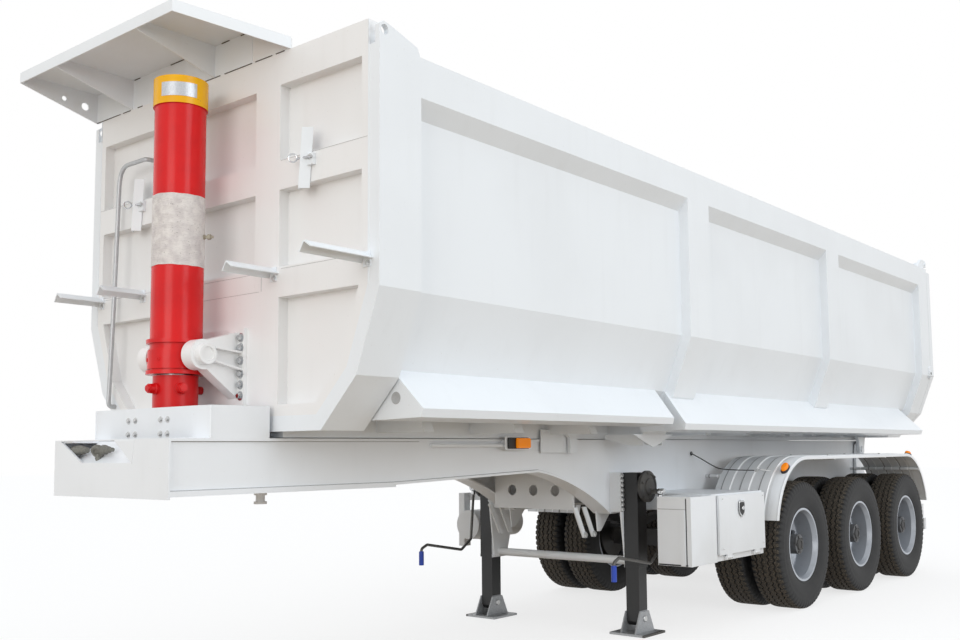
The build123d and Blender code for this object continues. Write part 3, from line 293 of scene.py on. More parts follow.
platform_x = 6.6495
corner_welds = [tube([(platform_x, side * 0.515, 1.392), (platform_x, side * 0.515, 1.549)], 4.5, 8)
                for side in (-1, 1)]
corner_welds.append(tube([(platform_x, -0.515, 1.3905), (platform_x, 0.515, 1.3905)], 5, 8))
face_x = 6.8762
lap = [(0.06, 1.384), (0.232, 1.384), (0.212, 1.27)]
corner_welds.append(slab(lap, "x", face_x - 0.001, face_x + 0.0014, 0.0006))
make_piece("platform_welds", corner_welds, chassis_enamel)
# A grey for seams and joints, also used for lines of painted shade in creases.
seam_and_shade_grey = plain_finish("seam_and_shade_grey", "white_paint", (0.05, 3), (0.33, 0.335, 0.34, 1),
                         (0.52, 0.525, 0.53, 1), 0.55, 0.1, 0, 0.0006, (0.008, 2))
# Grey beads along each rail's web: the lower one, in its corner with the bottom flange, is painted
# shade of that crease where dust also lies; the upper one is a line of painted shade just under the
# top flange.
rail_mesh = cad_nodes["main_rail_left"].data
rail_points = np.empty(len(rail_mesh.vertices) * 3, np.float32)
rail_mesh.vertices.foreach_get("co", rail_points)
rail_points = rail_points.reshape(-1, 3)
at_web = rail_points[np.abs(rail_points[:, 1] - 0.504) < 0.0006][:, (0, 2)]
at_web = np.unique(np.round(at_web, 4), axis=0) - (mid_x, 0)
low_line = at_web[at_web[:, 1] < 1.3]
low_line = low_line[low_line[:, 0] > -1.9]
under_flange_shade_line = np.array([(5.2, 1.376), (6.863, 1.376)])
rail_seam_and_shade_beads = []
for line, drop in ((low_line, 0.0012), (under_flange_shade_line, -0.0008)):
    for side in (-1, 1):
        rail_seam_and_shade_beads.append(tube(np.insert(line + (0, drop), 1, side * 0.5055, axis=1), 3))
make_piece("rail_seam_and_shade_beads", rail_seam_and_shade_beads, seam_and_shade_grey, "chassis", 60)


# Hose couplings in the recess of the front plate: two cast claws in dark green-grey paint.
def turned(profile, start, way, columns=24, oval=1):
    """A profile of (radius, height) rows in mm turned about the line from start along way;
    oval stretches the second direction across it."""
    way = np.array(way, float) / np.linalg.norm(way)
    first, second = spokes(way, columns)
    radius, height = np.array(profile, float).T[:, :, None, None] / 1000
    points = np.array(start) + height * way + radius * (first + second * oval)
    return points.reshape(-1, 3), grid_faces(len(profile), columns)


cast = plain_finish("cast_coupling", "black_paint", (0.006, 3), (0.075, 0.08, 0.07, 1),
                    (0.3, 0.29, 0.26, 1), 0.45, 0.3, 0.2, 0.0008)
coupling_x = 6.838
hose_end = [(0, 0), (11, 0), (11, 30), (17, 34), (17, 60), (24, 66), (26, 85), (26, 125), (21, 135),
            (21, 160), (14, 168), (14, 195), (0, 197)]
claw_face = [(0, -20), (20, -20), (30, -8), (36, 0), (36, 14),
             (30, 20), (20, 20), (17, 14), (0, 14)]
claws = [turned(hose_end, (coupling_x, -0.455, 1.336), (0, 1, 0.02), 16),
         turned(claw_face, (coupling_x, -0.155, 1.336), (0.78, 0.3, -0.5), 20),
         turned(hose_end[:7] + [(0, 86)], (coupling_x - 0.01, -0.04, 1.34), (0, -1, 0), 14),
         turned([(0, 0), (13, 0), (16, 20), (6, 45), (0, 46)], (coupling_x, -0.155, 1.318),
                (0.1, 0.1, -1), 12)]
make_piece("hose_couplings", claws, cast)


# Marker lamp on the neck: an amber lens on a black base, on a pale bracket, fed through a
# painted steel tube that runs along the web.
def rectangle(x0, z0, x1, z1):
    """Corner points of a rectangle."""
    return [(x0, z0), (x1, z0), (x1, z1), (x0, z1)]


def rounded_box(first, second, radius, corners=5):
    """Corner points of a rectangle with round corners."""
    (x0, z0), (x1, z1) = first, second
    turn = np.linspace(0, pi / 2, corners)
    centres = [(x1 - radius, z1 - radius), (x0 + radius, z1 - radius),
               (x0 + radius, z0 + radius), (x1 - radius, z0 + radius)]
    arcs = [np.stack([x + radius * np.cos(turn + k * pi / 2),
                      z + radius * np.sin(turn + k * pi / 2)], 1)
            for k, (x, z) in enumerate(centres)]
    return np.concatenate(arcs)


def lens_finish(name, ribs_a_metre, first, second, rough, sockets):
    """A moulded lens with fine level ribs, and any other values of its shader."""
    finish, place = new_finish(name, "red_paint")
    ribs = place.node("TexWave", {"bands_direction": "Z"}, {"Vector": place, "Scale": ribs_a_metre})
    set_shader(finish, {
        "Base Color": ribs.blend(first, second),
        "Roughness": rough,
        "Normal": (ribs * 0.0006).relief(),
        **sockets,
    })
    return finish


amber = lens_finish("amber_lens", 90, (0.78, 0.17, 0.003, 1), (0.93, 0.28, 0.006, 1), 0.22, {
    "Specular IOR Level": 0.3,
    "Emission Color": (1, 0.3, 0.004, 1),
    "Emission Strength": 0.26,
})
rubber = plain_finish("black_plastic", "black_paint", (0.004, 2), (0.016, 0.016, 0.017, 1),
                      (0.035, 0.035, 0.035, 1), 0.5, 0.2, 0, 0.0003)
lamp_x, lamp_z, lamp_y = 4.331, 1.365, 0.56
bracket_outline = rounded_box((lamp_x - 0.131, lamp_z - 0.045), (lamp_x + 0.131, lamp_z + 0.045),
                              0.01)
lamp_bracket = [slab(bracket_outline, "y", lamp_y - 0.004, lamp_y)]
for foot_x in (lamp_x - 0.09, lamp_x + 0.09):
    foot = rectangle(foot_x - 0.02, lamp_z - 0.02, foot_x + 0.02, lamp_z + 0.02)
    lamp_bracket.append(slab(foot, "y", 0.503, lamp_y))
make_piece("lamp_bracket", lamp_bracket, chassis_enamel)
base_outline = rounded_box((lamp_x - 0.108, lamp_z - 0.036), (lamp_x + 0.108, lamp_z + 0.036),
                           0.008)
make_piece("lamp_base", [slab(base_outline, "y", lamp_y, lamp_y + 0.012, 0.003)], rubber)
lens_outline = rounded_box((lamp_x - 0.104, lamp_z - 0.033), (lamp_x + 0.04, lamp_z + 0.033), 0.01)
make_piece("lamp_lens", [slab(lens_outline, "y", lamp_y + 0.01, lamp_y + 0.034, 0.008)], amber)
conduit = tube([(lamp_x + 0.1, 0.53, 1.351), (5.085, 0.53, 1.351),
                (5.1, 0.52, 1.351), (5.1, 0.503, 1.351)], 12, 12)
make_piece("lamp_conduit", [conduit], chassis_enamel)


# Struts behind the neck: flat bars from the rail's foot down to their bolts, with a small
# corner plate, all in chassis white.
strut_shapes = []
strut_bolts = []
for start_x in (3.434, 3.318):
    top_x, low_x = start_x, start_x - 0.121
    bar = [(low_x, 0.68), (low_x + 0.048, 0.684), (top_x + 0.048, 0.905), (top_x, 0.905)]
    for side in (-1, 1):
        strut_shapes.append(slab(bar, "y", side * 0.385, side * 0.397))
        strut_bolts.append((low_x + 0.026, side * 0.397, 0.703))
for side in (-1, 1):
    corner = [(3.15, 0.72), (3.19, 0.72), (3.21, 0.87), (3, 0.87)]
    strut_shapes.append(slab(corner, "y", side * 0.399, side * 0.409))
make_piece("neck_struts", strut_shapes, chassis_enamel)
left_bolts = [place for place in strut_bolts if place[1] > 0]
right_bolts = [place for place in strut_bolts if place[1] < 0]
make_piece("strut_bolts", [hexagons(left_bolts, (0, 1, 0), 26, 16),
                           hexagons(right_bolts, (0, -1, 0), 26, 16)], zinc)


# Springs, hangers and axles: rolled and forged steel in black paint, greyed with road dust,
# the leaves clamped to the beams with U-bolts.
running_gear, gear_place = new_finish("running_gear_black", "black_paint")
gear_cloud = gear_place.grain(0.25, 3)
gear_scale = gear_place.grain(0.012, 3)
gear_dust = gear_cloud.rise(0.4, 0.72) * 0.55
set_shader(running_gear, {
    "Base Color": gear_dust.blend((0.022, 0.022, 0.023, 1), (0.105, 0.096, 0.082, 1)),
    "Roughness": 0.48 + gear_dust * 0.4,
    "Normal": (gear_scale * 0.0005 + gear_cloud * 0.0006).relief(),
})
dress(running_gear, "suspension", "axle_front", "axle_middle", "axle_rear")
clamp_nuts = []
for axle in (-1, 0, 1):
    for side in (-1, 1):
        for reach_x in (-0.093, 0.093):
            for reach_y in (-0.054, 0.054):
                clamp_nuts.append((axle * axle_spacing + reach_x, side * 0.441 + reach_y, 0.736))
make_piece("clamp_nuts", [hexagons(clamp_nuts, (0, 0, 1), 30, 20)], zinc)


# Wheels: dished steel discs rolled into their rims, in silver paint with a painted highlight on the
# rolled lip and painted shade deep round the hub, with ten nuts and an oil cap each.
axle_places = {"front": axle_spacing, "middle": 0, "rear": -axle_spacing}
wheel_z = 0.522
sides = (("left", 1), ("right", -1))


def circle(x, y, z, radius, turn):
    """Points at angles turn round a centre, in the plane of x and z."""
    return np.stack([x + radius * np.cos(turn), np.full(len(turn), y), z + radius * np.sin(turn)],
                    1)


def radius_about(place, centre_x):
    """Distance in metres from an axle's line through centre_x."""
    reach_x = place.along("X") - (mid_x + centre_x)
    reach_z = place.along("Z") - wheel_z
    return place.maths("SQRT", reach_x * reach_x + reach_z * reach_z)


def rim_finish(name, centre_x):
    """Silver paint with a painted highlight on the lip, painted shade inside the ring of nuts and
    random dark patches of dirt.
    """
    finish, place = new_finish(name)
    reach = radius_about(place, centre_x)
    cloud = place.grain(0.06, 3)
    # The brighter silver of the lip is a painted highlight.
    bright = (0.5, 0.535, 0.59, 1)
    plain = (0.4, 0.425, 0.465, 1)
    # Painted shade darkens the deep dish inside the ring of nuts; random dark patches of dirt
    # darken it anywhere.
    hub_shade_and_grime = reach.rise(0.225, 0.15) * (0.55 + cloud * 0.45)
    hub_shade_and_grime = hub_shade_and_grime + cloud.rise(0.55, 0.8) * 0.16
    lip = reach.rise(0.284, 0.292)
    set_shader(finish, {
        "Base Color": hub_shade_and_grime.blend(lip.blend(plain, bright), (0.05, 0.046, 0.042, 1)),
        "Metallic": lip * 0.15 + 0.4,
        "Roughness": 0.34 + hub_shade_and_grime * 0.4,
        "Normal": (place.grain(0.003, 2) * 0.00012).relief(),
    })
    return finish


nut_circle = 0.1675
for place_name, axle_x in axle_places.items():
    silver = rim_finish("rim_silver_" + place_name, axle_x)
    for label, side in sides:
        hub = place_name + "_" + label
        dress(silver, "wheels_" + hub)
        hub_y = side * 0.915
        turn = np.arange(10) * pi / 5
        nut_places = circle(axle_x, hub_y + side * 0.013, wheel_z, nut_circle, turn)
        studs = [turned([(0, 0), (10, 0), (10, 47), (7, 50), (0, 50)], nut_places[k], (0, side, 0),
                        8) for k in range(10)]
        make_piece("wheel_nuts_" + hub,
                   [hexagons(nut_places, (0, side, 0), 33, 27)] + studs, zinc, "wheel_" + hub)
        cap_bolts = circle(axle_x, hub_y + side * 0.239, wheel_z, 0.064, turn[::2])
        cap_rings = turned([(0, -4), (52, -4), (52, 4), (46, 11), (30, 12), (28, 7), (0, 7)],
                           (axle_x, hub_y + side * 0.241, wheel_z), (0, side, 0), 32)
        make_piece("hub_cap_" + hub, [cap_rings, hexagons(cap_bolts, (0, side, 0), 14, 8)],
                   running_gear, "wheel_" + hub, slot="rim_paint")


# Tyres: moulded rubber with four zig-zag grooves and notched shoulders, brown with dust on the
# tread and grey on the walls. Two stand on each wheel, the bead seated under the rim's lip.
def tyre_rubber(name, centre_x):
    """Black rubber: dust on the tread, fine moulded rings on the wall."""
    finish, place = new_finish(name, "tyre")
    reach = radius_about(place, centre_x)
    cloud = place.grain(0.08, 3)
    crumbs = place.grain(0.006, 3)
    tread = reach.rise(0.5085, 0.5165)
    wall = cloud.rise(0.3, 0.75).blend((0.01, 0.01, 0.011, 1), (0.021, 0.021, 0.021, 1))
    dusty = crumbs.rise(0.42, 0.74).blend((0.021, 0.019, 0.016, 1), (0.165, 0.132, 0.095, 1))
    rings = place.maths("SINE", reach * 900)
    ring_mask = reach.rise(0.34, 0.36) * reach.rise(0.47, 0.45)
    set_shader(finish, {
        "Base Color": tread.blend(wall, dusty),
        "Roughness": 0.62 + cloud * 0.16 + tread * 0.12,
        "Normal": (rings * ring_mask * 0.00018 + crumbs * 0.0005).relief(),
    })
    return finish


def tyre_grid(centre_y, centre_x):
    """A tyre as a grid of angle and profile. Rings of the tread shift sideways with a zig-zag
    of the angle, and rings of the shoulder drop where the angle meets a notch."""
    pitches, steps = 64, 6
    around = pitches * steps
    phase = np.arange(around) % steps
    zigzag = np.array([0, 1, 1, 0, -1, -1])[phase] * 0.0068
    notch = np.array([1, 1, 0, 0, 0, 0])[phase]
    wall = [(0.102, 0.2855), (0.111, 0.297), (0.119, 0.306), (0.1225, 0.314), (0.1215, 0.318),
            (0.127, 0.332), (0.1345, 0.362), (0.139, 0.395), (0.1396, 0.42), (0.1378, 0.446),
            (0.1385, 0.449), (0.136, 0.462), (0.1335, 0.48), (0.1295, 0.498), (0.122, 0.511),
            (0.112, 0.5175)]
    grooves = (0.074, 0.0275, -0.0275, -0.074)
    tread = [(0.102, 0.5196)]
    for middle in grooves:
        rib_edge = 0.522 - 0.09 * middle ** 2
        tread += [(middle + 0.0066, rib_edge), (middle + 0.0042, rib_edge - 0.0145),
                  (middle - 0.0042, rib_edge - 0.0145), (middle - 0.0066, rib_edge)]
    tread += [(-0.102, 0.5196)]
    profile = wall + tread + [(-u, r) for u, r in wall[::-1]]
    side, radius = np.array(profile).T
    window = np.clip((0.1 - np.abs(side)) / 0.012, 0, 1)
    drop = np.where(np.abs(side) > 0.101, np.clip((radius - 0.45) / 0.045, 0, 1), 0) * 0.0135
    shift = side[None] + zigzag[:, None] * window[None]
    reach = radius[None] - notch[:, None] * drop[None]
    angle = (np.arange(around) * 2 * pi / around)[:, None]
    points = np.stack([centre_x + reach * np.sin(angle), centre_y + shift,
                       wheel_z - reach * np.cos(angle)], -1)
    return points.reshape(-1, 3), grid_faces(around, len(profile), True, False)


for place_name, axle_x in axle_places.items():
    rubber_finish = tyre_rubber("tyre_rubber_" + place_name, axle_x)
    for label, side in sides:
        hub = place_name + "_" + label
        pair = [tyre_grid(side * 0.75, axle_x), tyre_grid(side * 1.08, axle_x)]
        tyres = make_piece("tread_" + hub, pair, rubber_finish, "wheel_" + hub, 32)
        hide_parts("tyres_" + hub)


# Landing legs: square tubes in satin black, a galvanised foot on its pin, a bare steel crank
# with a blue plastic grip, bolted through a pale plate to the rail.
def pin(radius, height, start, way, columns):
    """A plain round pin with flat ends."""
    return turned([(0, 0), (radius, 0), (radius, height), (0, height)], start, way, columns)


chrome, chrome_place = new_finish("chrome", "bare_steel")
set_shader(chrome, {
    "Base Color": chrome_place.grain(0.01, 2).blend((0.62, 0.63, 0.64, 1), (0.48, 0.49, 0.5, 1)),
    "Metallic": 1,
    "Roughness": 0.14 + chrome_place.grain(0.02, 2) * 0.12,
})
leg_x = 3.11
leg_finish, leg_place = new_finish("landing_leg_coats", "black_paint")
leg_cloud = leg_place.grain(0.09, 3)
leg_fleck = leg_place.grain(0.01, 3)
beyond_leg = leg_place.maths("ABSOLUTE", leg_place.along("Y"))
height = leg_place.along("Z")
from_leg_x = leg_place.maths("ABSOLUTE", leg_place.along("X") - (mid_x + leg_x))
from_leg_y = leg_place.maths("ABSOLUTE", beyond_leg - 0.68)
inner_leg = from_leg_x.rise(0.0546, 0.0542) * from_leg_y.rise(0.0538, 0.0534)
inner_leg = inner_leg * height.rise(0.0164, 0.0168)
foot_part = height.rise(0.1665, 0.1655) * (1 - inner_leg)
crank_part = beyond_leg.rise(0.8075, 0.8085)
on_grip = leg_place.along("X").rise(mid_x + 3.69, mid_x + 3.694)
grip_part = crank_part * height.rise(0.548, 0.547) * on_grip
pale_part = beyond_leg.rise(0.6212, 0.6206)
leg_black = leg_cloud.blend((0.01, 0.01, 0.0105, 1), (0.018, 0.018, 0.018, 1))
leg_zinc = leg_fleck.blend((0.27, 0.28, 0.295, 1), (0.52, 0.53, 0.54, 1))
crank_steel = leg_fleck.blend((0.055, 0.052, 0.05, 1), (0.17, 0.165, 0.155, 1))
leg_colour = pale_part.blend(leg_black, enamel_white)
leg_colour = foot_part.blend(leg_colour, leg_zinc)
leg_colour = crank_part.blend(leg_colour, crank_steel)
set_shader(leg_finish, {
    "Base Color": grip_part.blend(leg_colour, (0.012, 0.055, 0.42, 1)),
    "Metallic": (foot_part * 0.55 + crank_part * 0.6) * (1 - grip_part),
    "Roughness": 0.36 + leg_cloud * 0.12 + foot_part * 0.08,
    "Normal": (leg_fleck * 0.0003 + leg_place.grain(0.003, 1) * 0.00006).relief(),
})
dress(leg_finish, "landing_leg_left", "landing_leg_right")
for label, side in sides:
    leg_y = side * 0.68
    row_z = np.linspace(1.13, 0.885, 8)
    bolt_row = [(leg_x + 0.0775, side * 0.6195, z) for z in row_z]
    rail_row = [(x, side * 0.621, z) for x in (leg_x - 0.16, leg_x - 0.1) for z in row_z[::2]]
    pins = [turned([(0, 0), (22, 0), (22, 6), (18, 10), (0, 10)],
                   (leg_x, leg_y + way * 0.0645, 0.11), (0, way, 0), 20) for way in (-1, 1)]
    make_piece("leg_bolts_" + label, [hexagons(bolt_row, (0, side, 0), 22, 16),
                                      hexagons(rail_row, (0, side, 0), 24, 15)] + pins, zinc)
    box_x, box_z = leg_x - 0.025, 1.05  # the gear case
    cover = turned([(0, -20), (114, -20), (114, 2), (100, 12), (90, 12), (86, 6), (60, 9), (56, 18),
                    (36, 20), (0, 20)], (box_x, side * 0.7815, box_z), (0, side, 0), 40)
    turn = np.arange(6) * pi / 3 + 0.3
    rim_bolts = circle(box_x, side * 0.792, box_z, 0.095, turn)
    boss = turned([(0, 0), (27, 0), (27, 22), (22, 28), (0, 28)],
                  (box_x, side * 0.7815, 1.013), (0, side, 0), 24)
    make_piece("gear_cover_" + label, [cover, boss, hexagons(rim_bolts, (0, side, 0), 14, 9)],
               running_gear)
    fork = turned([(0, 0), (21, 0), (24, 6), (24, 44), (20, 50), (0, 50)],
                  (box_x, side * 0.862, 1.013), (0, side, 0), 20)
    joint_pin = pin(9, 62, (leg_x - 0.056, side * 0.892, 1.013), (1, 0, 0), 12)
    collar = turned([(0, 0), (17, 2), (17, 30), (0, 32)], (leg_x - 0.0225, side * 0.88, 0.99),
                    (0.08, 0, -1), 16)
    make_piece("crank_joint_" + label, [fork, joint_pin, collar], chrome)
    sleeve = [(0.0612, -0.0612), (0.0612, 0.0612), (-0.0612, 0.0612), (-0.0612, -0.0612)]
    band = [(leg_x + x, leg_y + y) for x, y in sleeve]
    make_piece("leg_sleeve_band_" + label, [slab(band, "z", 0.469, 0.492, 0.001)], leg_finish)


# Mudguards: sheet steel over all six wheels in white enamel, stiffened by three pressed ridges
# that run round with it, its outer edge rolled, carried on four tubes from the rail.
guard_enamel = enamel("guard_enamel", enamel_white, enamel_shade, 1.45)
box_enamel = enamel("box_enamel", enamel_white, enamel_shade, 1.2, 0.26)
guard_place = Wire(guard_enamel.node_tree,
                   guard_enamel.node_tree.nodes["Texture Coordinate"].outputs["Object"])
beyond_rail = guard_place.maths("ABSOLUTE", guard_place.along("Y"))
ridge_phase = guard_place.maths("FRACT", (beyond_rail - 0.7) * (1 / 0.166))
ridged = beyond_rail.rise(1.145, 1.14)
# Painted shade along the inner foot of each ridge, and a painted highlight along its outer edge.
ridge_foot_shade = ridge_phase.rise(0.085, 0.045) * ridged
ridge_edge_highlight = ridge_phase.rise(0.455, 0.475) * ridge_phase.rise(0.56, 0.53) * ridged
guard_shader = guard_enamel.node_tree.nodes["Principled BSDF"]
guard_colour = Wire(guard_enamel.node_tree, guard_shader.inputs["Base Color"].links[0].from_socket)
# Painted shade greys the ridged sheet, as under the body above; then painted shade lines at the
# ridge feet and painted highlight lines at their edges.
guard_colour = (ridged * 0.22).blend(guard_colour, (0.45, 0.44, 0.42, 1))
guard_colour = (ridge_foot_shade * 0.75).blend(guard_colour, (0.16, 0.155, 0.15, 1))
set_shader(guard_enamel, {
    "Base Color": ridge_edge_highlight.blend(guard_colour, (0.93, 0.94, 0.95, 1)),
})


arc_x, arc_z, arc_radius = 1.29, 0.63, 0.617  # the front arc of a guard


def guard_line(radius, count=24):
    """Side line of the guard at a radius: x = arc_x + radius cos t, z = arc_z + radius sin t
    from 0.12 m above the arc's centre to its top, and the same turned about for the rear."""
    turn = np.linspace(np.arcsin(0.12 / radius), pi / 2, count)
    front = np.stack([arc_x + radius * np.cos(turn), arc_z + radius * np.sin(turn)], 1)
    return np.concatenate([front, front[::-1] * (-1, 1)])


def guard_sheet(side):
    """The sheet's section, out along its top and back along its underside, carried along the
    side line, each end closed to the middle of the sheet."""
    top = [(0.65, 0)]
    for low in (0.7, 0.866, 1.032):
        top += [(low - 0.003, 0), (low + 0.003, 0.006), (low + 0.079, 0.006), (low + 0.085, 0)]
    top = np.array(top + [(1.229, 0), (1.235, -0.004), (1.235, -0.026)])
    under = top - (0, 0.005)
    under[-2:] = [(1.229, -0.008), (1.229, -0.026)]
    under[-3] = (1.226, -0.005)
    middle = (top + under) / 2
    loop = np.concatenate([top, under[::-1]])
    cap = np.concatenate([middle, middle[::-1]])

    def carried(section):
        lines = np.stack([guard_line(arc_radius + rise) for rise in section[:, 1]], 1)
        return np.insert(lines, 1, side * section[:, 0], axis=2)

    rows, ends = carried(loop), carried(cap)
    points = np.concatenate([ends[:1], rows, ends[-1:]])
    return points.reshape(-1, 3), grid_faces(points.shape[0], points.shape[1])


for label, side in sides:
    stays = [pin(16, 726, (x, side * 0.504, z), (0, side, 0), 16)
             for x, z in ((1.674, 1.087), (0.655, 1.227), (-0.655, 1.227), (-1.674, 1.087))]
    guard = make_piece("guard_" + label, [guard_sheet(side)] + stays, guard_enamel)
    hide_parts("mudguard_" + label)
    edge_route = np.insert(guard_line(arc_radius - 0.004), 1, side * 1.2275, axis=1)
    make_piece("guard_edge_" + label, [tube(edge_route, 7.2, 8)], box_enamel)
    amber_parts, black_parts = [], []
    for end, tilt in ((1, 0.985), (-1, 1.32)):
        way = np.array([end * cos(tilt), 0, sin(tilt)])
        foot = (end * arc_x, side * 1.196, arc_z) + way * (arc_radius + 0.002)
        black_parts.append(turned([(0, -4), (33, -4), (33, 12), (29, 16),
                                   (0, 16)], foot, way, 24, 1.75))
        amber_parts.append(turned([(0, 10), (27, 10), (27, 30), (22, 39),
                                   (10, 43), (0, 43.5)], foot, way, 24, 1.85))
    make_piece("guard_lamp_bases_" + label, black_parts, rubber)
    make_piece("guard_lamp_lenses_" + label, amber_parts, amber)
    stay_bolts = [(x, side * y, 1.2475) for x in (0.655, -0.655) for y in (0.825, 1.17)]
    make_piece("guard_bolts_" + label, [hexagons(stay_bolts, (0, 0, 1), 20, 12)], zinc)


# Wire stay beside the front mudguard: black steel wire from an eye on the rail to a ring on
# the guard.
stay_start, stay_end = (1.93, 0.51, 1.279), (1.79, 1, 1.14)
stay_route = [stay_start, (1.9, 0.575, 1.24), (1.905, 0.7, 1.172),
              (1.895, 0.76, 1.15), (1.84, 0.88, 1.142), stay_end]


def ring_wire(centre, first, second, radius, wire):
    """A closed ring of wire in the plane of two directions."""
    first, second = np.array(first, float), np.array(second, float)
    away = np.cross(first, second)
    turn = (np.arange(24) * 2 * pi / 24)[:, None]
    spoke = np.cos(turn) * first + np.sin(turn) * second
    loop = (np.arange(8) * 2 * pi / 8)[None, :, None]
    ring = (radius + wire * np.cos(loop)) * spoke[:, None] + wire * np.sin(loop) * away
    return (np.array(centre) + ring).reshape(-1, 3), grid_faces(24, 8, True, True)


make_piece("guard_wire", [tube(stay_route, 4.5, 8, 3),
                          ring_wire(stay_start, (1, 0, 0), (0, 0, 1), 0.013, 0.004)], rubber)
hook_place = (stay_end[0] - 0.018, stay_end[1] + 0.02, stay_end[2] + 0.006)
make_piece("guard_wire_ring", [
    ring_wire(hook_place, (1, 0, 0), (0, 0.8, 0.6), 0.022, 0.0055),
    tube([(hook_place[0] - 0.01, hook_place[1] + 0.02, hook_place[2]),
          (hook_place[0] - 0.05, hook_place[1] + 0.09, hook_place[2] - 0.012)], 6, 8)], zinc)


# Tool box and its drop-down door: folded sheet in white enamel, with a chromed rotary latch,
# small hinges at the foot and a rolled drip edge.
dress(box_enamel, "toolbox", "toolbox_door")
door_face = 1.2035
box_front = 3.2195
edge_post = rectangle(1.112, 0.512, 1.148, 0.898)
fascia_line = tube([(box_front, 0.935, 0.9), (box_front, 1.15, 0.9)], 2.5)
make_piece("box_front_trim", [slab(edge_post, "x", box_front, box_front + 0.006, 0.002)],
           box_enamel)
make_piece("box_front_seam", [fascia_line], seam_and_shade_grey, "chassis", 60)
# Black strips in the gap beside the edge post and along the foot of the box front: painted shade in
# the gaps.
gap_shade_strip = rectangle(1.153, 0.516, 1.161, 0.975)
foot_gap_shade = rectangle(0.935, 0.512, 1.165, 0.522)
make_piece("box_front_gap_shade", [slab(gap_shade_strip, "x", box_front, box_front + 0.0015, 0.0005),
                              slab(foot_gap_shade, "x", box_front, box_front + 0.002, 0.0005)], rubber)
latch_x, latch_z = 2.455, 0.874
shield = [(-0.044, 0.052), (-0.02, 0.062), (0, 0.058), (0.02, 0.062), (0.044, 0.052),
          (0.046, -0.01), (0.036, -0.04), (0, -0.066), (-0.036, -0.04), (-0.046, -0.01)]
shield_outline = [(latch_x + x, latch_z + z) for x, z in shield]
make_piece("door_latch_plate", [slab(shield_outline, "y", door_face - 0.001, door_face + 0.004,
                                     0.002)], chrome, "toolbox_door")
pad_outline = [(latch_x + 0.78 * x, latch_z + 0.78 * z) for x, z in shield]
knob = turned([(0, 0), (16, 0), (17, 6), (14, 12), (0, 12)],
              (latch_x, door_face + 0.005, latch_z + 0.004), (0, 1, 0), 20)
make_piece("door_latch_pad", [slab(pad_outline, "y", door_face + 0.003, door_face + 0.007, 0.002)],
           rubber, "toolbox_door")
make_piece("door_latch_knob", [knob], chrome, "toolbox_door")
door_rivets = [(x, door_face, z) for x in (2.09, 2.76) for z in (0.955, 0.6)]
make_piece("door_rivets", [turned([(0, 0), (6, 0), (6, 2), (3, 4.5), (0, 5)], place, (0, 1, 0), 10)
                           for place in door_rivets], zinc, "toolbox_door")


# Rear bar and its lamps: round lenses in the white boxes, an amber one between two red ones,
# with black rubber rings.
red_lens = lens_finish("red_lens", 70, (0.5, 0.01, 0.01, 1), (0.66, 0.022, 0.018, 1), 0.17, {})
lamp_back = -2.1
red_lamps, amber_lamps, rings = [], [], []
for side in (-1, 1):
    for y, bag in ((0.775, red_lamps), (0.915, amber_lamps), (1.055, red_lamps)):
        start = (lamp_back + 0.001, side * y, 0.628)
        rings.append(turned([(0, 0), (60, 0), (60, 10), (52, 13), (0, 13)], start, (-1, 0, 0), 28))
        bag.append(turned([(0, 8), (50, 8), (49, 18), (40, 25),
                           (20, 29), (0, 30)], start, (-1, 0, 0), 28))
make_piece("rear_lamp_rings", rings, rubber)
make_piece("rear_red_lenses", red_lamps, red_lens)
make_piece("rear_amber_lenses", amber_lamps, amber)


# Body: welded sheet steel with pressed posts and rails, a deep hull section, in glossy white
# enamel. The front wall takes a less blue copy of the white, painted for the warmer light on it,
# and weld beads run down the joints of the sheets.
body_enamel = enamel("body_enamel", (0.83, 0.865, 0.9, 1), (0.775, 0.805, 0.835, 1), 0.9, 0.26)
dress(body_enamel, "side_wall_left", "side_wall_right", "body_floor", "floor_frame", "tailgate",
      "canopy", "front_fittings")
# A copy of the body white, less blue, painted for the warmer light on the front wall than on the
# sides.
front_warm_light_enamel = enamel("front_warm_light_enamel", (0.85, 0.85, 0.85, 1), (0.79, 0.785, 0.78, 1), 0.9, 0.28)
dress(front_warm_light_enamel, "front_wall", "trunnion_bracket")


def weld(route, radius, pitch=0.02):
    """A weld bead along straight runs: a tube whose ripples follow the length."""
    line = np.array(route, float)
    runs = np.linalg.norm(np.diff(line, axis=0), axis=1)
    reach = np.concatenate([[0], np.cumsum(runs)])
    count = max(int(reach[-1] / pitch), 2)
    at = np.linspace(0, reach[-1], count)
    dense = np.stack([np.interp(at, reach, line[:, k]) for k in range(3)], 1)
    points, faces = tube(dense, radius)
    rings = points.reshape(-1, 6, 3)
    ripple = 1 + 0.16 * np.cos(np.arange(count) * pi)[:, None, None]
    rings[1:-1] = dense[:, None] + (rings[1:-1] - dense[:, None]) * ripple
    return rings.reshape(-1, 3), faces


upper_knee = (1.2, 2.103)
lower_knee = (1.0485, 1.701)
rail_line_z = 2.975
for label, side in sides:
    seams = []
    for x in (-1.815, 0.49, 0.78, 2.98, 3.29, 5.985):
        seams.append(weld([(x, side * upper_knee[0], rail_line_z),
                           (x, side * upper_knee[0], upper_knee[1]),
                           (x, side * lower_knee[0], lower_knee[1] + 0.03)], 3.5))
    seams.append(weld([(6.2715, side * 1.199, 3.39), (6.2715, side * 1.199, 2.1)], 3.5))
    make_piece("wall_seams_" + label, seams, body_enamel, "bed", 60)


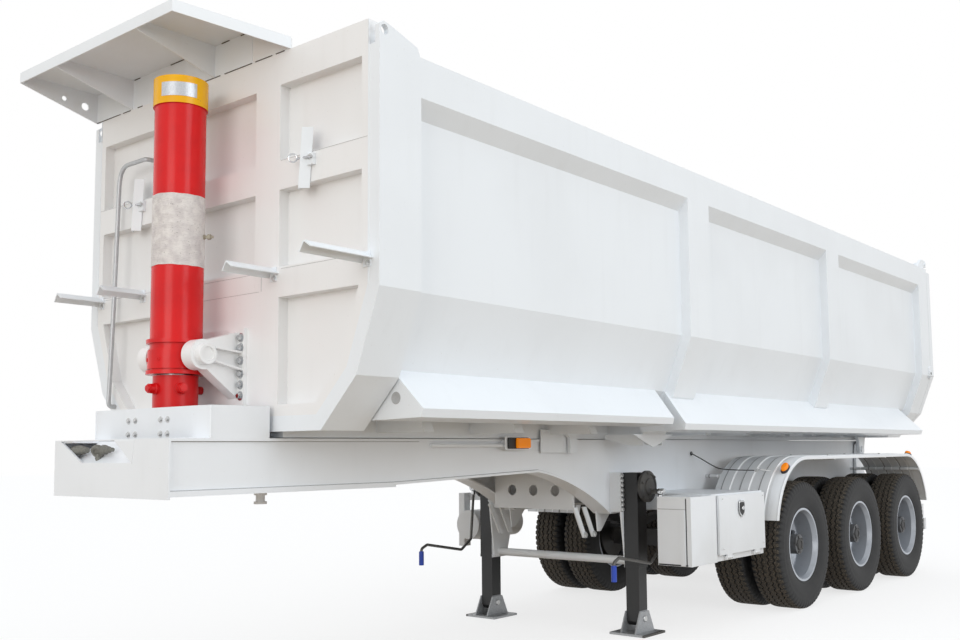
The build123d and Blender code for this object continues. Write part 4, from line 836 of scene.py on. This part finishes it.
# Guides, outriggers and ledge ends under the body: bent plates that centre it on the rails,
# tapered plates below the ribs and round plugs in the ends of the ledges.
under_shapes, plug_shapes = [], []
guide_funnel = [(3.51, 1.494), (3.89, 1.494), (3.743, 1.4), (3.743, 1.297), (3.659, 1.297),
                (3.659, 1.4)]
guide_panel = rectangle(3.693, 1.3, 4.035, 1.457)
outrigger = [(2.86, 1.424), (3.41, 1.424), (3.155, 1.335), (3.115, 1.335)]
bearer_end = [(0.535, 1.392), (0.535, 1.4245), (0.858, 1.4245), (0.858, 1.345), (0.76, 1.345)]
for side in (-1, 1):
    for outline, near, far in ((guide_funnel, 0.535, 0.562), (guide_panel, 0.52, 0.528),
                               (outrigger, 0.856, 0.864)):
        under_shapes.append(slab(outline, "y", side * near, side * far))
    bearer = [(side * y, z) for y, z in bearer_end]
    for near_x, far_x in ((3, 3.008), (3.262, 3.27)):
        under_shapes.append(slab(bearer, "x", near_x, far_x))
    plug_shapes.append(turned([(0, -4), (31, -4), (31, 1.5), (28, 1.8),
                               (26.5, 0.8), (0, 0.8)], (5.975, side * 1.085, 1.582), (1, 0, 0), 32))
make_piece("body_guides", under_shapes, body_enamel, "bed")
make_piece("ledge_plugs", plug_shapes, seam_and_shade_grey, "bed", slot="bare_steel")


# Fittings on the front wall: a galvanised handrail bent from tube, four angle-iron steps and two
# upright angle-iron cleats with eye bolts, welded to the wall's frame.
galvanised = plain_finish("galvanised_tube", "bare_steel", (0.02, 3), (0.4, 0.41, 0.42, 1),
                          (0.58, 0.59, 0.6, 1), 0.36, 0.15, 0.55, 0.0004)
wall_front = 6.272
rail_x = wall_front + 0.045
handrail = make_piece("handrail",
                      [tube([(wall_front - 0.002, -0.971, 1.6), (rail_x, -0.971, 1.6),
                             (rail_x, -0.968, 1.66)], 13, 16, 3),
                       tube([(rail_x, -0.968, 1.655), (rail_x, -0.935, 2.23),
                             (rail_x, -0.915, 2.78), (rail_x, -0.905, 3.037),
                             (rail_x, -0.72, 3.037), (rail_x, -0.655, 3.037),
                             (rail_x, -0.625, 3.036), (wall_front - 0.002, -0.623, 3.037)], 13, 16,
                            3)], galvanised, "bed", 60)


def angle_iron(start, way, first, second, length, size, sheet):
    """An L section carried along way: two flanges of size along first and second."""
    start, way = np.array(start, float), np.array(way, float)
    first, second = np.array(first, float), np.array(second, float)
    way, first, second = (v / np.linalg.norm(v) for v in (way, first, second))
    slim = 0.0012
    section = [(slim, 0), (size - slim, 0), (size, slim), (size, sheet - slim),
               (size - slim, sheet), (sheet + 2 * slim, sheet), (sheet, sheet + 2 * slim),
               (sheet, size - slim), (sheet - slim, size), (slim, size), (0, size - slim),
               (0, slim)]
    across = np.array([a * first + b * second for a, b in section])
    core = (first + second) * sheet * 0.5
    rows = [np.repeat((start + core)[None], 12, 0), start + across,
            start + across + way * length, np.repeat((start + core + way * length)[None], 12, 0)]
    return np.stack(rows).reshape(-1, 3), grid_faces(4, 12)


steps = []
roll = radians(33)
step_places = ((-1.15, 2.25, 0.285), (-0.7, 2.25, 0.27), (0.5, 2.24, 0.29), (1.19, 2.235, 0.38))
for y, z, reach in step_places:
    steps.append(angle_iron((wall_front - 0.001, y - 0.01, z + 0.024), (1, 0, 0),
                            (0, cos(roll), -sin(roll)), (0, -sin(roll), -cos(roll)),
                            reach, 0.06, 0.006))
    foot = rectangle(y - 0.025, z - 0.05, y + 0.025, z + 0.025)
    steps.append(slab(foot, "x", wall_front - 0.001, wall_front + 0.006))
cleat_middles = (0.755, -0.755)
for y in cleat_middles:
    steps.append(angle_iron((wall_front + 0.045, y - 0.016, 2.632), (0, 0.085, 1), (-1, 1.05, 0),
                            (-1, -1.05, 0), 0.308, 0.058, 0.006))
    clip = rectangle(y + 0.02, 2.745, y + 0.065, 2.805)
    steps.append(slab(clip, "x", wall_front - 0.001, wall_front + 0.022))
step_irons = make_piece("step_irons", steps, body_enamel, "bed")
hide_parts("front_fittings")
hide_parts("front_fittings")
ring_parts, step_bolts = [], []
for y in cleat_middles:
    ring_y = y - 0.058
    ring_parts.append(ring_wire((wall_front + 0.046, ring_y, 2.792), (0.75, -0.66, 0), (0, 0, 1),
                                0.021, 0.0042))
    ring_parts.append(pin(6, 110, (wall_front + 0.03, ring_y + 0.02, 2.788), (0.02, 1, -0.06), 12))
    step_bolts.append((wall_front + 0.021, y + 0.044, 2.785))
for y, z, _ in step_places:
    step_bolts.append((wall_front + 0.005, y + 0.008, z - 0.034))
make_piece("cleat_rings", ring_parts, chrome, "bed")
make_piece("step_bolts", [hexagons(step_bolts, (1, 0, 0), 18, 11)], zinc, "bed")
wall_x = 6.2105
panel_seams = []
for low_z, high_z in ((2.82, 3.22), (2.262, 2.665)):
    for near_y, far_y in ((-0.342, 0.342), (0.54, 1.15), (-1.15, -0.54)):
        panel_seams.append(weld([(wall_x, near_y, low_z), (wall_x, far_y, low_z),
                                 (wall_x, far_y, high_z), (wall_x, near_y, high_z),
                                 (wall_x, near_y, low_z)], 3))
make_piece("panel_seams", panel_seams, front_warm_light_enamel, "bed", 60)


def straight(x, first, last, radius):
    """A bead between two places given by y and z at one x."""
    return tube([(x, *first), (x, *last)], radius)


joint_x = wall_front + 0.0006
sheet_joints = []
for z, near_y, far_y in ((2.245, -0.34, 0.4), (2.15, -0.3, 0.38), (2.252, 0.56, 1.19),
                         (2.817, 0.55, 1.19), (2.252, -1.19, -0.56), (2.817, -1.19, -0.56)):
    sheet_joints.append(straight(wall_front + 0.0004, (near_y, z), (far_y, z), 1))
for y, low_z, high_z in ((0.4, 2.15, 2.245), (-0.342, 1.95, 2.262)):
    sheet_joints.append(straight(wall_front + 0.0004, (y, low_z), (y, high_z), 1.4))
make_piece("sheet_joints", sheet_joints, seam_and_shade_grey, "bed", 60)


# Canopy over the cylinder head: folded sheet, closed at its near end by a plate, its joints to
# the wall run over with a dark sealant that has broken away in places.
near_plate = [(0.294, 3.397), (0.618, 3.397), (0.618, 3.45), (0.294, 3.574)]
canopy_gap = slab(near_plate, "x", wall_front - 0.011, wall_front - 0.003)
make_piece("canopy_end", [canopy_gap], front_warm_light_enamel, "bed")
sealant = plain_finish("old_sealant", "black_paint", (0.01, 3), (0.035, 0.028, 0.022, 1),
                       (0.12, 0.1, 0.08, 1), 0.8, 0, 0, 0.001)
cracks = []
for near_y, far_y in ((-1.26, -0.99), (-0.96, -0.88), (-0.8, -0.75), (-0.2, 0.02), (0.06, 0.3),
                      (0.33, 0.47), (0.5, 0.57)):
    cracks.append(straight(joint_x, (near_y, 3.3952), (far_y, 3.3952), 3))
for near_y, far_y in ((-0.84, -0.78), (-0.46, -0.2), (-0.13, -0.05), (0.03, 0.1), (0.2, 0.28)):
    cracks.append(straight(joint_x, (near_y, 3.5755), (far_y, 3.5755), 3.2))
for gusset_y, low, high in ((-0.8625, 3.42, 3.5), (-0.0405, 3.47, 3.57)):
    cracks.append(straight(joint_x, (gusset_y, low), (gusset_y, high), 2.6))
make_piece("canopy_sealant", cracks, sealant, "bed", 60)


# Trunnion bracket: six large bolts a side through its base plate, and two ribs from each boss
# back to the plate.
trunnion_x, trunnion_z = 6.505, 1.82
plate_x = wall_front + 0.02
bracket_bolts, bracket_shapes = [], []
for side in (-1, 1):
    for bolt_z in (1.919, 1.866, 1.798, 1.729, 1.672, 1.614):
        bracket_bolts.append((plate_x, side * 0.2625, bolt_z))
    bracket_shapes.append(turned([(0, 13), (45.6, 13), (45.6, 0), (54, 0), (54, 40), (51, 43),
                                  (37, 43), (35, 34), (0, 33.5)],
                                 (trunnion_x, side * 0.2395, trunnion_z), (0, side, 0), 40))
    for start_z, end_z in ((1.852, 1.836), (1.783, 1.745)):
        rib = [(plate_x - 0.001, end_z), (plate_x - 0.001, end_z + 0.01),
               (trunnion_x - 0.045, start_z + 0.01), (trunnion_x - 0.045, start_z)]
        bracket_shapes.append(slab(rib, "y", side * 0.2385, side * 0.276))
    for low_z, high_z in ((1.562, 1.722), (1.728, 1.812), (1.818, 1.968)):
        strip = rectangle(side * 0.2835, low_z, side * 0.289, high_z)
        bracket_shapes.append(slab(strip, "x", wall_front, plate_x + 0.002))
make_piece("bracket_bolts", [hexagons(bracket_bolts, (1, 0, 0), 27, 21)], chrome, "bed")
make_piece("bracket_ribs", bracket_shapes, front_warm_light_enamel, "bed")


# Hooks that hold the tailgate: forged steel on plates on the rear posts, painted white, with
# dark pins.
hook_shapes, hook_pins = [], []
for side in (-1, 1):
    post_plate = [(-2.098, 2.05), (-2.02, 2.06), (-2.02, 2.17), (-2.098, 2.195)]
    hook_arm = [(-2.165, 2.085), (-2.04, 2.085), (-2.04, 2.14), (-2.11, 2.15), (-2.165, 2.125)]
    for outline, near, far in ((post_plate, 1.269, 1.2765), (hook_arm, 1.2765, 1.2845)):
        hook_shapes.append(slab(outline, "y", side * near, side * far))
    hook_pins.append(pin(17, 1.2, (-2.07, side * 1.284, 2.112), (0, side, 0), 16))
    hook_pins.append(pin(10, 3, (-2.045, side * 1.276, 2.072), (0, side, 0), 12))
make_piece("rear_hooks", hook_shapes, body_enamel, "bed")
make_piece("rear_hook_pins", hook_pins, running_gear, "bed", slot="bare_steel")


# Cylinder: a red enamelled cover with a yellow cap and reflective band, wrapped in packing
# tape at half height, over chromed stages; the foot with its ports is red as well.
red_coat, red_body_place = new_finish("cylinder_red", "red_paint")
red_cloud = red_body_place.grain(0.12, 3)
cap_part = red_body_place.along("Z").rise(3.1422, 3.1425)
on_cap = red_body_place.along("Z").rise(3.15, 3.16)
scratch = red_body_place.grain(0.012, 4).rise(0.66, 0.72) * on_cap
scratch = scratch * red_body_place.grain(0.07, 2).rise(0.5, 0.62)
red_colour = red_cloud.rise(0.3, 0.8).blend((0.7, 0.01, 0.011, 1), (0.61, 0.008, 0.01, 1))
yellow_colour = red_cloud.rise(0.3, 0.8).blend((0.9, 0.47, 0.004, 1), (0.82, 0.39, 0.003, 1))
capped = cap_part.blend(red_colour, yellow_colour)
set_shader(red_coat, {
    "Base Color": scratch.blend(capped, (0.05, 0.04, 0.03, 1)),
    "Roughness": 0.2 + red_cloud * 0.08 + scratch * 0.3,
    "Specular IOR Level": 0.26,
    "Normal": (red_body_place.grain(0.003, 1) * 0.00004 + red_cloud * 0.0004).relief(),
})
dress(red_coat, "cylinder_cover")
stage_steel = plain_finish("stage_steel", "bare_steel", (0.02, 3, (1, 1, 0.05)),
                           (0.52, 0.53, 0.54, 1), (0.62, 0.63, 0.64, 1), 0.2, 0.12, 0.95, 0.00008)
dress(stage_steel, "cylinder_stage_1", "cylinder_stage_2", "cylinder_stage_3", "cylinder_stage_4")
foot_coat, foot_place = new_finish("cylinder_foot_red", "red_paint")
foot_cloud = foot_place.grain(0.12, 3)
foot_red = foot_cloud.blend((0.66, 0.009, 0.01, 1), (0.56, 0.007, 0.009, 1))
stage_above = foot_place.along("Z").rise(1.7205, 1.7215)
set_shader(foot_coat, {
    "Base Color": stage_above.blend(foot_red, (0.55, 0.56, 0.57, 1)),
    "Metallic": stage_above * 0.95,
    "Roughness": 0.24 + foot_cloud * 0.1,
    "Specular IOR Level": 0.26,
    "Normal": (foot_cloud * 0.0004).relief(),
})
dress(foot_coat, "cylinder_stage_5")
band_silver, band_place = new_finish("reflective_band", "bare_steel")
band_cells = band_place.node("TexVoronoi", {}, {"Vector": band_place, "Scale": 160})
set_shader(band_silver, {
    "Base Color": band_cells.blend((0.62, 0.64, 0.67, 1), (0.46, 0.48, 0.51, 1)),
    "Metallic": 0.45,
    "Roughness": 0.3,
    "Normal": (band_place.grain(0.03, 2) * 0.001).relief(),
})


def round_cover(reach, turn, level):
    """Points round the cylinder: x = trunnion_x + reach cos turn, y = reach sin turn, z = level."""
    return np.stack([trunnion_x + reach * np.cos(turn), reach * np.sin(turn), level], -1)


def sleeve(angles, heights, reach):
    """A sleeve 1.5 mm thick part of the way round: its section is a loop carried round, and
    each end is closed to the middle of the loop."""
    turn, level = np.meshgrid(angles, heights, indexing="ij")
    inner = round_cover(reach - 0.0015, turn, level)
    loop = np.concatenate([round_cover(reach, turn, level), inner[:, ::-1]], 1)
    middle = loop.mean(1, keepdims=True)
    first, last = np.repeat(middle[:1], loop.shape[1], 1), np.repeat(middle[-1:], loop.shape[1], 1)
    points = np.concatenate([first, loop, last])
    return points.reshape(-1, 3), grid_faces(points.shape[0], points.shape[1])


band_shapes = []
for start, end in ((0.229, 1.58), (-1.75, -0.5), (2.5, 3.7)):
    turns = np.linspace(start, end, 40)
    levels = np.linspace(3.178, 3.252, 5)
    band_shapes.append(sleeve(turns, levels, 0.1425))
make_piece("cap_band", band_shapes, band_silver, "cylinder_cover")
tape, tape_place = new_finish("packing_tape")
tape_cloud = tape_place.grain(0.05, 4)
tape_lines = tape_place.grain(0.02, 3, (1, 1, 6))
tape_dirt = tape_place.grain(0.008, 2).rise(0.66, 0.74)
tape_tone = tape_cloud.rise(0.3, 0.7) * 0.6 + tape_lines.rise(0.45, 0.7) * 0.3
tape_colour = tape_tone.blend((0.78, 0.74, 0.71, 1), (0.52, 0.47, 0.47, 1))
set_shader(tape, {
    "Base Color": (tape_dirt * 0.7).blend(tape_colour, (0.16, 0.14, 0.12, 1)),
    "Roughness": 0.34 + tape_cloud * 0.2,
    "Normal": (tape_lines * 0.0035 + tape_cloud * 0.003).relief(),
})
turns = np.linspace(0, 2 * pi, 97)[:-1]
levels = np.linspace(2.288, 2.662, 60)
wrap = np.add.outer(turns / (2 * pi) * 0.045, levels)
laps = 0.0012 * ((wrap / 0.045) % 1)
wrinkle = 0.0006 * np.sin(turns[:, None] * 7 + levels[None] * 90) * np.sin(levels[None] * 210)
wrap_radius = 0.1345 + laps + wrinkle
ragged = 0.0016 * np.sin(turns * 3 + 0.6) + 0.0008 * np.sin(turns * 11)
level_grid = levels[None] + ragged[:, None] * (np.abs(levels[None] - 2.475) > 0.18)
outer_wrap = round_cover(wrap_radius, turns[:, None], level_grid)
inner_wrap = round_cover(np.full(wrap_radius.shape, 0.1325), turns[:, None], level_grid)
wrap_loop = np.concatenate([outer_wrap, inner_wrap[:, ::-1]], 1)
make_piece("cover_wrap", [(wrap_loop.reshape(-1, 3), grid_faces(96, 120, True, True))], tape,
           "cylinder_cover", 60)
brass = plain_finish("bleed_fitting", "bare_steel", (0.006, 3), (0.3, 0.26, 0.19, 1),
                     (0.5, 0.46, 0.38, 1), 0.4, 0, 0.7, 0)
nipple = turned([(0, -10), (13, -10), (13, 10), (9, 12), (9, 22), (15, 24), (15, 40), (7, 46),
                 (7, 54), (0, 54)], (trunnion_x - 0.08, 0.106, 2.454), (-0.6, 0.8, 0), 8)
make_piece("bleed_nipple", [nipple], brass, "cylinder_cover")
port_plugs = []
for angle in (0, 1.23):
    way = (cos(angle), sin(angle), 0)
    start = np.array([trunnion_x + 0.112 * cos(angle), 0.112 * sin(angle), 1.65])
    port_plugs.append(turned([(0, 0), (30, 0), (30, 14), (26, 18), (24, 47),
                              (18, 48), (17, 56), (0, 56)], start, way, 24))
make_piece("port_bosses", port_plugs, foot_coat, "cylinder_stage_5")
collar_turn = np.arange(8) * pi / 4 + 0.35
screws = [turned([(0, 0), (10, 0), (10, 4), (5, 4.5), (5, 2), (0, 2)],
                 (trunnion_x + 0.1435 * cos(a), 0.1435 * sin(a), 1.8), (cos(a), sin(a), 0), 14)
          for a in collar_turn if abs(cos(a)) > 0.25]
make_piece("collar_screws", screws, red_coat, "cylinder_cover")


# Studio: a white floor that keeps a faint shadow, an even pale sky and two wide soft lamps,
# one beside the trailer and one ahead of it.
def seen_straight(origin):
    """1 for rays from the camera and through gloss or glass, 0 for the light that bounces."""
    camera_ray, glossy_ray, glass_ray = (
        origin.node("LightPath", {}, {}, "Is %s Ray" % kind)
        for kind in ("Camera", "Glossy", "Transmission"))
    return origin.maths("MINIMUM", camera_ray + glossy_ray + glass_ray, 1)


def emptied(owner):
    """The node tree of a material or a sky, emptied, to start nodes from."""
    owner.use_nodes = True
    owner.node_tree.nodes.clear()
    return Wire(owner.node_tree, None)


floor_mesh = bpy.data.meshes.new("studio_floor")
floor_mesh.from_pydata([(-60, -60, 0), (60, -60, 0), (60, 60, 0), (-60, 60, 0)], [], [(0, 1, 2, 3)])
studio_floor = bpy.data.objects.new("studio_floor", floor_mesh)
bpy.context.scene.collection.objects.link(studio_floor)
floor_finish = bpy.data.materials.new("studio_floor")
floor = emptied(floor_finish)
bounce = floor.node("BsdfDiffuse", {}, {"Color": (0.35, 0.28, 0.205, 1)})
shaded = floor.node("BsdfDiffuse", {}, {"Color": (0.98, 0.98, 0.98, 1)})
glow = floor.node("Emission", {}, {"Color": (1, 1, 1, 1), "Strength": 1})
pale = floor.node("MixShader", {}, {0: 0.26, 1: glow, 2: shaded})
floor_shader = floor.node("MixShader", {}, {0: seen_straight(floor), 1: bounce, 2: pale})
floor.node("OutputMaterial", {}, {"Surface": floor_shader})
floor_mesh.materials.append(floor_finish)
world = bpy.data.worlds.new("studio_sky")
bpy.context.scene.world = world
sky = emptied(world)
pale_sky = sky.node("Background", {}, {"Color": (0.945, 0.975, 1, 1), "Strength": 1.02})
white_view = sky.node("Background", {}, {"Color": (1, 1, 1, 1), "Strength": 1})
sky_shader = sky.node("MixShader", {}, {0: seen_straight(sky), 1: pale_sky, 2: white_view})
sky.node("OutputWorld", {}, {"Surface": sky_shader})


def soft_lamp(name, place, target, size, power, colour):
    """A square lamp that faces its target."""
    light = bpy.data.lights.new(name, "AREA")
    light.size = size
    light.energy = power
    light.color = colour
    lamp = bpy.data.objects.new(name, light)
    lamp.location = place
    lamp.rotation_mode = "QUATERNION"
    aim = Vector(target) - Vector(place)
    lamp.rotation_quaternion = aim.to_track_quat("-Z", "Y")
    bpy.context.scene.collection.objects.link(lamp)


soft_lamp("side_lamp", (2, 15.9, 5.9), (0, 0, 1.6), 9, 690, (0.87, 0.93, 0.985))
soft_lamp("front_lamp", (16.5, 4, 3.6), (3.5, 0, 1.8), 7, 430, (1, 0.985, 0.955))


# Camera at the height and angle of the photograph, with its small shift of the frame.
camera_data = bpy.data.cameras.new("photo_camera")
camera_data.sensor_width = 36
camera_data.lens = 38.586
camera_data.shift_x = -0.01692
camera_data.shift_y = 0.03811
camera_data.clip_end = 300
camera = bpy.data.objects.new("photo_camera", camera_data)
camera.location = (7.2668, 4.6771, 1.32)
camera.rotation_mode = "QUATERNION"
looking = Vector((-0.7722, -0.62887, 0.09071))
camera.rotation_quaternion = looking.to_track_quat("-Z", "Y") @ Quaternion((0, 0, 1), -0.009)
bpy.context.scene.collection.objects.link(camera)
bpy.context.scene.camera = camera
bpy.context.scene.view_settings.view_transform = "Standard"
